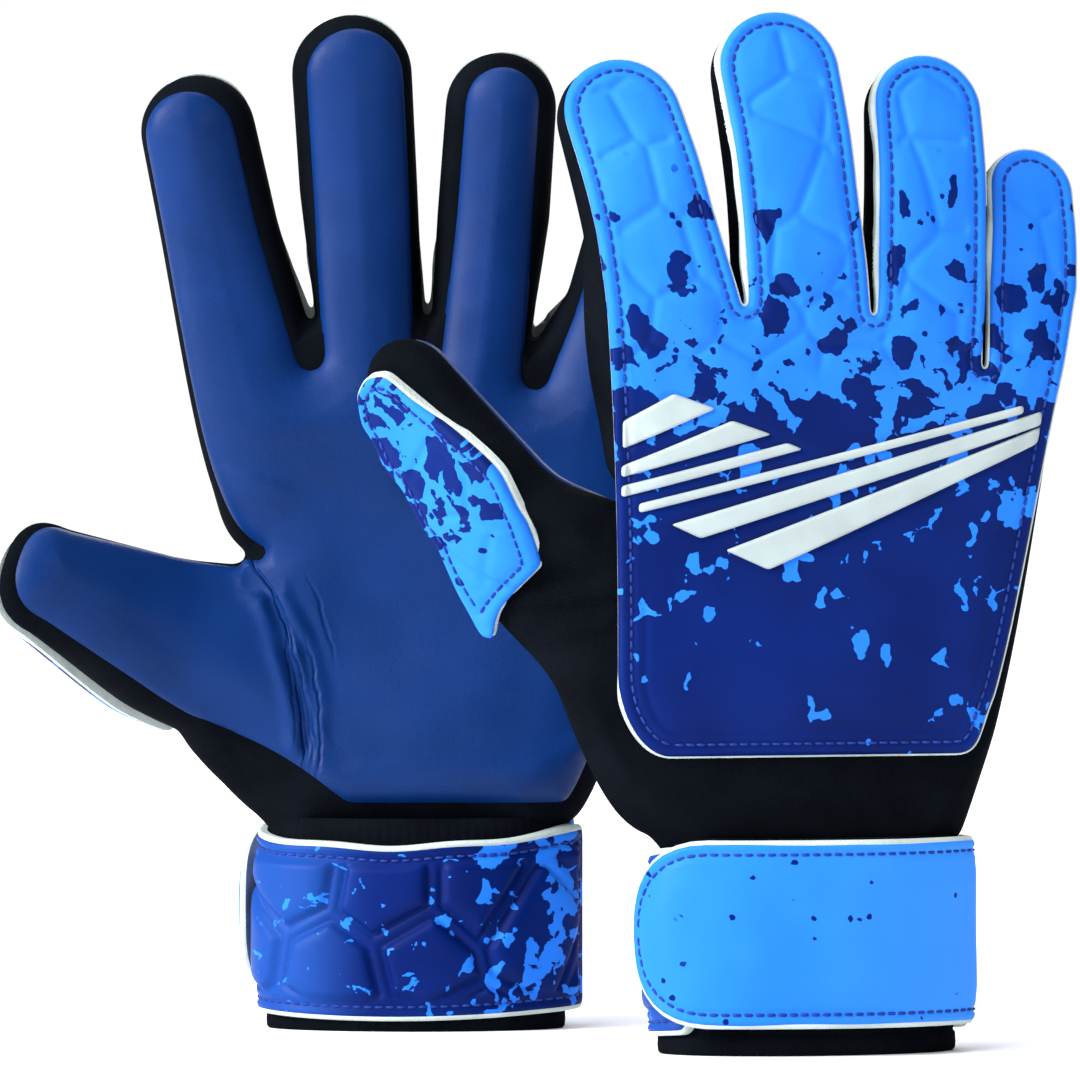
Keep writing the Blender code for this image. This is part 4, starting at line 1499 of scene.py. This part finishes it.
FLOOR_RADIUS, FLOOR_POINTS = 160.0, 48  # in metres
LIGHTS = (  # name, place, what it aims at, width and height, power
    ("key_light", (-2.1, -1.0, 0.9), (0.0, 0.0, 0.15), (0.9, 1.3), 84.0),
    ("front_light", (-1.1, -2.5, 1.3), (0.0, 0.0, 0.14), (0.9, 0.9), 14.0),
    ("fill_light", (1.7, -2.0, 0.9), (0.0, 0.0, 0.14), (0.8, 1.2), 9.0),
    ("top_light", (0.0, 0.4, 2.0), (0.0, 0.0, 0.1), (1.4, 1.0), 16.0),
    ("rear_light", (0.6, 1.9, 1.2), (0.0, 0.0, 0.14), (1.4, 1.0), 18.0),
)
SUN_DIRECTION, SUN_POWER, SUN_ANGLE = (0.52, 0.42, -0.74), 3.2, 60.0
WORLD_COLOUR, WORLD_POWER = (0.93, 0.96, 1.0, 1.0), 0.34
CAMERA_AIM, CAMERA_AWAY, CAMERA_ELEVATION = (0.00688, 0.00396, 0.1315), 4.315, 2.0
LENS, SENSOR_WIDTH = 551.5, 36.0


def facing(direction):
    """The turn that points a light or a camera in a direction."""
    return direction.to_track_quat("-Z", "Y")


def build_stage():
    turns = [math.tau * i / FLOOR_POINTS for i in range(FLOOR_POINTS)]
    ring = [(FLOOR_RADIUS * math.cos(turn), FLOOR_RADIUS * math.sin(turn), 0.0) for turn in turns]
    mesh = bpy.data.meshes.new("floor")
    mesh.from_pydata(ring, [], [tuple(range(FLOOR_POINTS))])
    floor = linked("floor", mesh)
    g = Graph("pale_floor")
    g.finish((0.97, 0.97, 0.97, 1.0), 0.9, None, Specular_IOR_Level=0.05)
    mesh.materials.append(g.material)
    world = bpy.data.worlds.new("studio")
    bpy.context.scene.world = world
    world.use_nodes = True
    background = world.node_tree.nodes["Background"]
    background.inputs[0].default_value = WORLD_COLOUR
    background.inputs[1].default_value = WORLD_POWER
    for name, place, aim, size, power in LIGHTS:
        light = bpy.data.lights.new(name, "AREA")
        light.shape = "RECTANGLE"
        light.size, light.size_y = size
        light.energy = power
        lamp = linked(name, light)
        lamp.location = place
        lamp.rotation_euler = facing(Vector(aim) - Vector(place)).to_euler()
    sun = bpy.data.lights.new("soft_sun", "SUN")
    sun.energy = SUN_POWER
    sun.angle = math.radians(SUN_ANGLE)
    linked("soft_sun", sun).rotation_euler = facing(Vector(SUN_DIRECTION)).to_euler()
    bpy.context.scene.view_settings.view_transform = "Standard"


def build_camera():
    elevation = math.radians(CAMERA_ELEVATION)
    back = Vector((0.0, -math.cos(elevation), math.sin(elevation)))
    data = bpy.data.cameras.new("camera")
    data.lens = LENS
    data.sensor_width = SENSOR_WIDTH
    data.clip_start, data.clip_end = 0.1, 400.0
    camera = linked("camera", data)
    camera.location = Vector(CAMERA_AIM) + back * CAMERA_AWAY
    camera.rotation_mode = "QUATERNION"
    camera.rotation_quaternion = facing(-back)
    bpy.context.scene.camera = camera


def main():
    build_camera()
    build_stage()
    materials = {
        "fabric": fabric_material("stretch_fabric"),
        "elastic": fabric_material("elastic_knit", 1.3, wrinkles=False),
        "foam": foam_material(),
        "print": print_material(
            "printed_skin",
            ((60.0, -0.34), (156.0, -0.21), (171.0, -0.04), (190.0, 0.05), (212.0, 0.17), (232.0, 0.50)),
            (0.55, 0.30), (216.0, 232.0, 0.16)),
        # The strap's drips thin out along u, and its navy there gets a painted sheen.
        "band": print_material("strap_print_and_painted_sheen", ((0.0, -0.26), (60.0, -0.24)), (0.44, 0.30),
                               (-20.0, -10.0, 0.1), 7.0, 5.5, drip_size=9.0, fade_and_sheen=(12.0, 72.0, 0.0, 0.22)),
        # The tab's sky blue is brightened towards one end as painted light.
        "tab": print_material("tab_print_and_painted_light", ((0.0, 0.8), (60.0, 0.9)), (2.0, 0.0), (80.0, 90.0, 0.15),
                              painted_light_span=(150.0, 215.0)),
        "white": plain_material("bar_skin", (0.34, 0.40, 0.41, 1.0), (0.38, 0.45, 0.46, 1.0), 0.42),
        "thread": plain_material("thread", (0.003, 0.020, 0.17, 1.0), (0.004, 0.030, 0.25, 1.0), 0.6),
        "loop": plain_material("loop_pile", (0.004, 0.004, 0.005, 1.0), (0.009, 0.009, 0.011, 1.0), 0.9, 0.6,
                               0.7, 0.1),
        "hook": plain_material("hook_pile", (0.006, 0.006, 0.008, 1.0), (0.012, 0.012, 0.015, 1.0), 0.6, 0.8,
                               0.7, 0.3),
    }
    for side in ("left", "right"):
        glove = Glove(side)
        build_body(glove, materials["fabric"])
        build_latex(glove, latex_material(side))
        heights = build_back(glove, materials["print"], materials["foam"], materials["white"],
                             thumb_print_material(glove))
        build_stitches(glove, *heights, materials["thread"])
        build_cuff(glove, materials)
        build_wrist(glove, materials)


main()
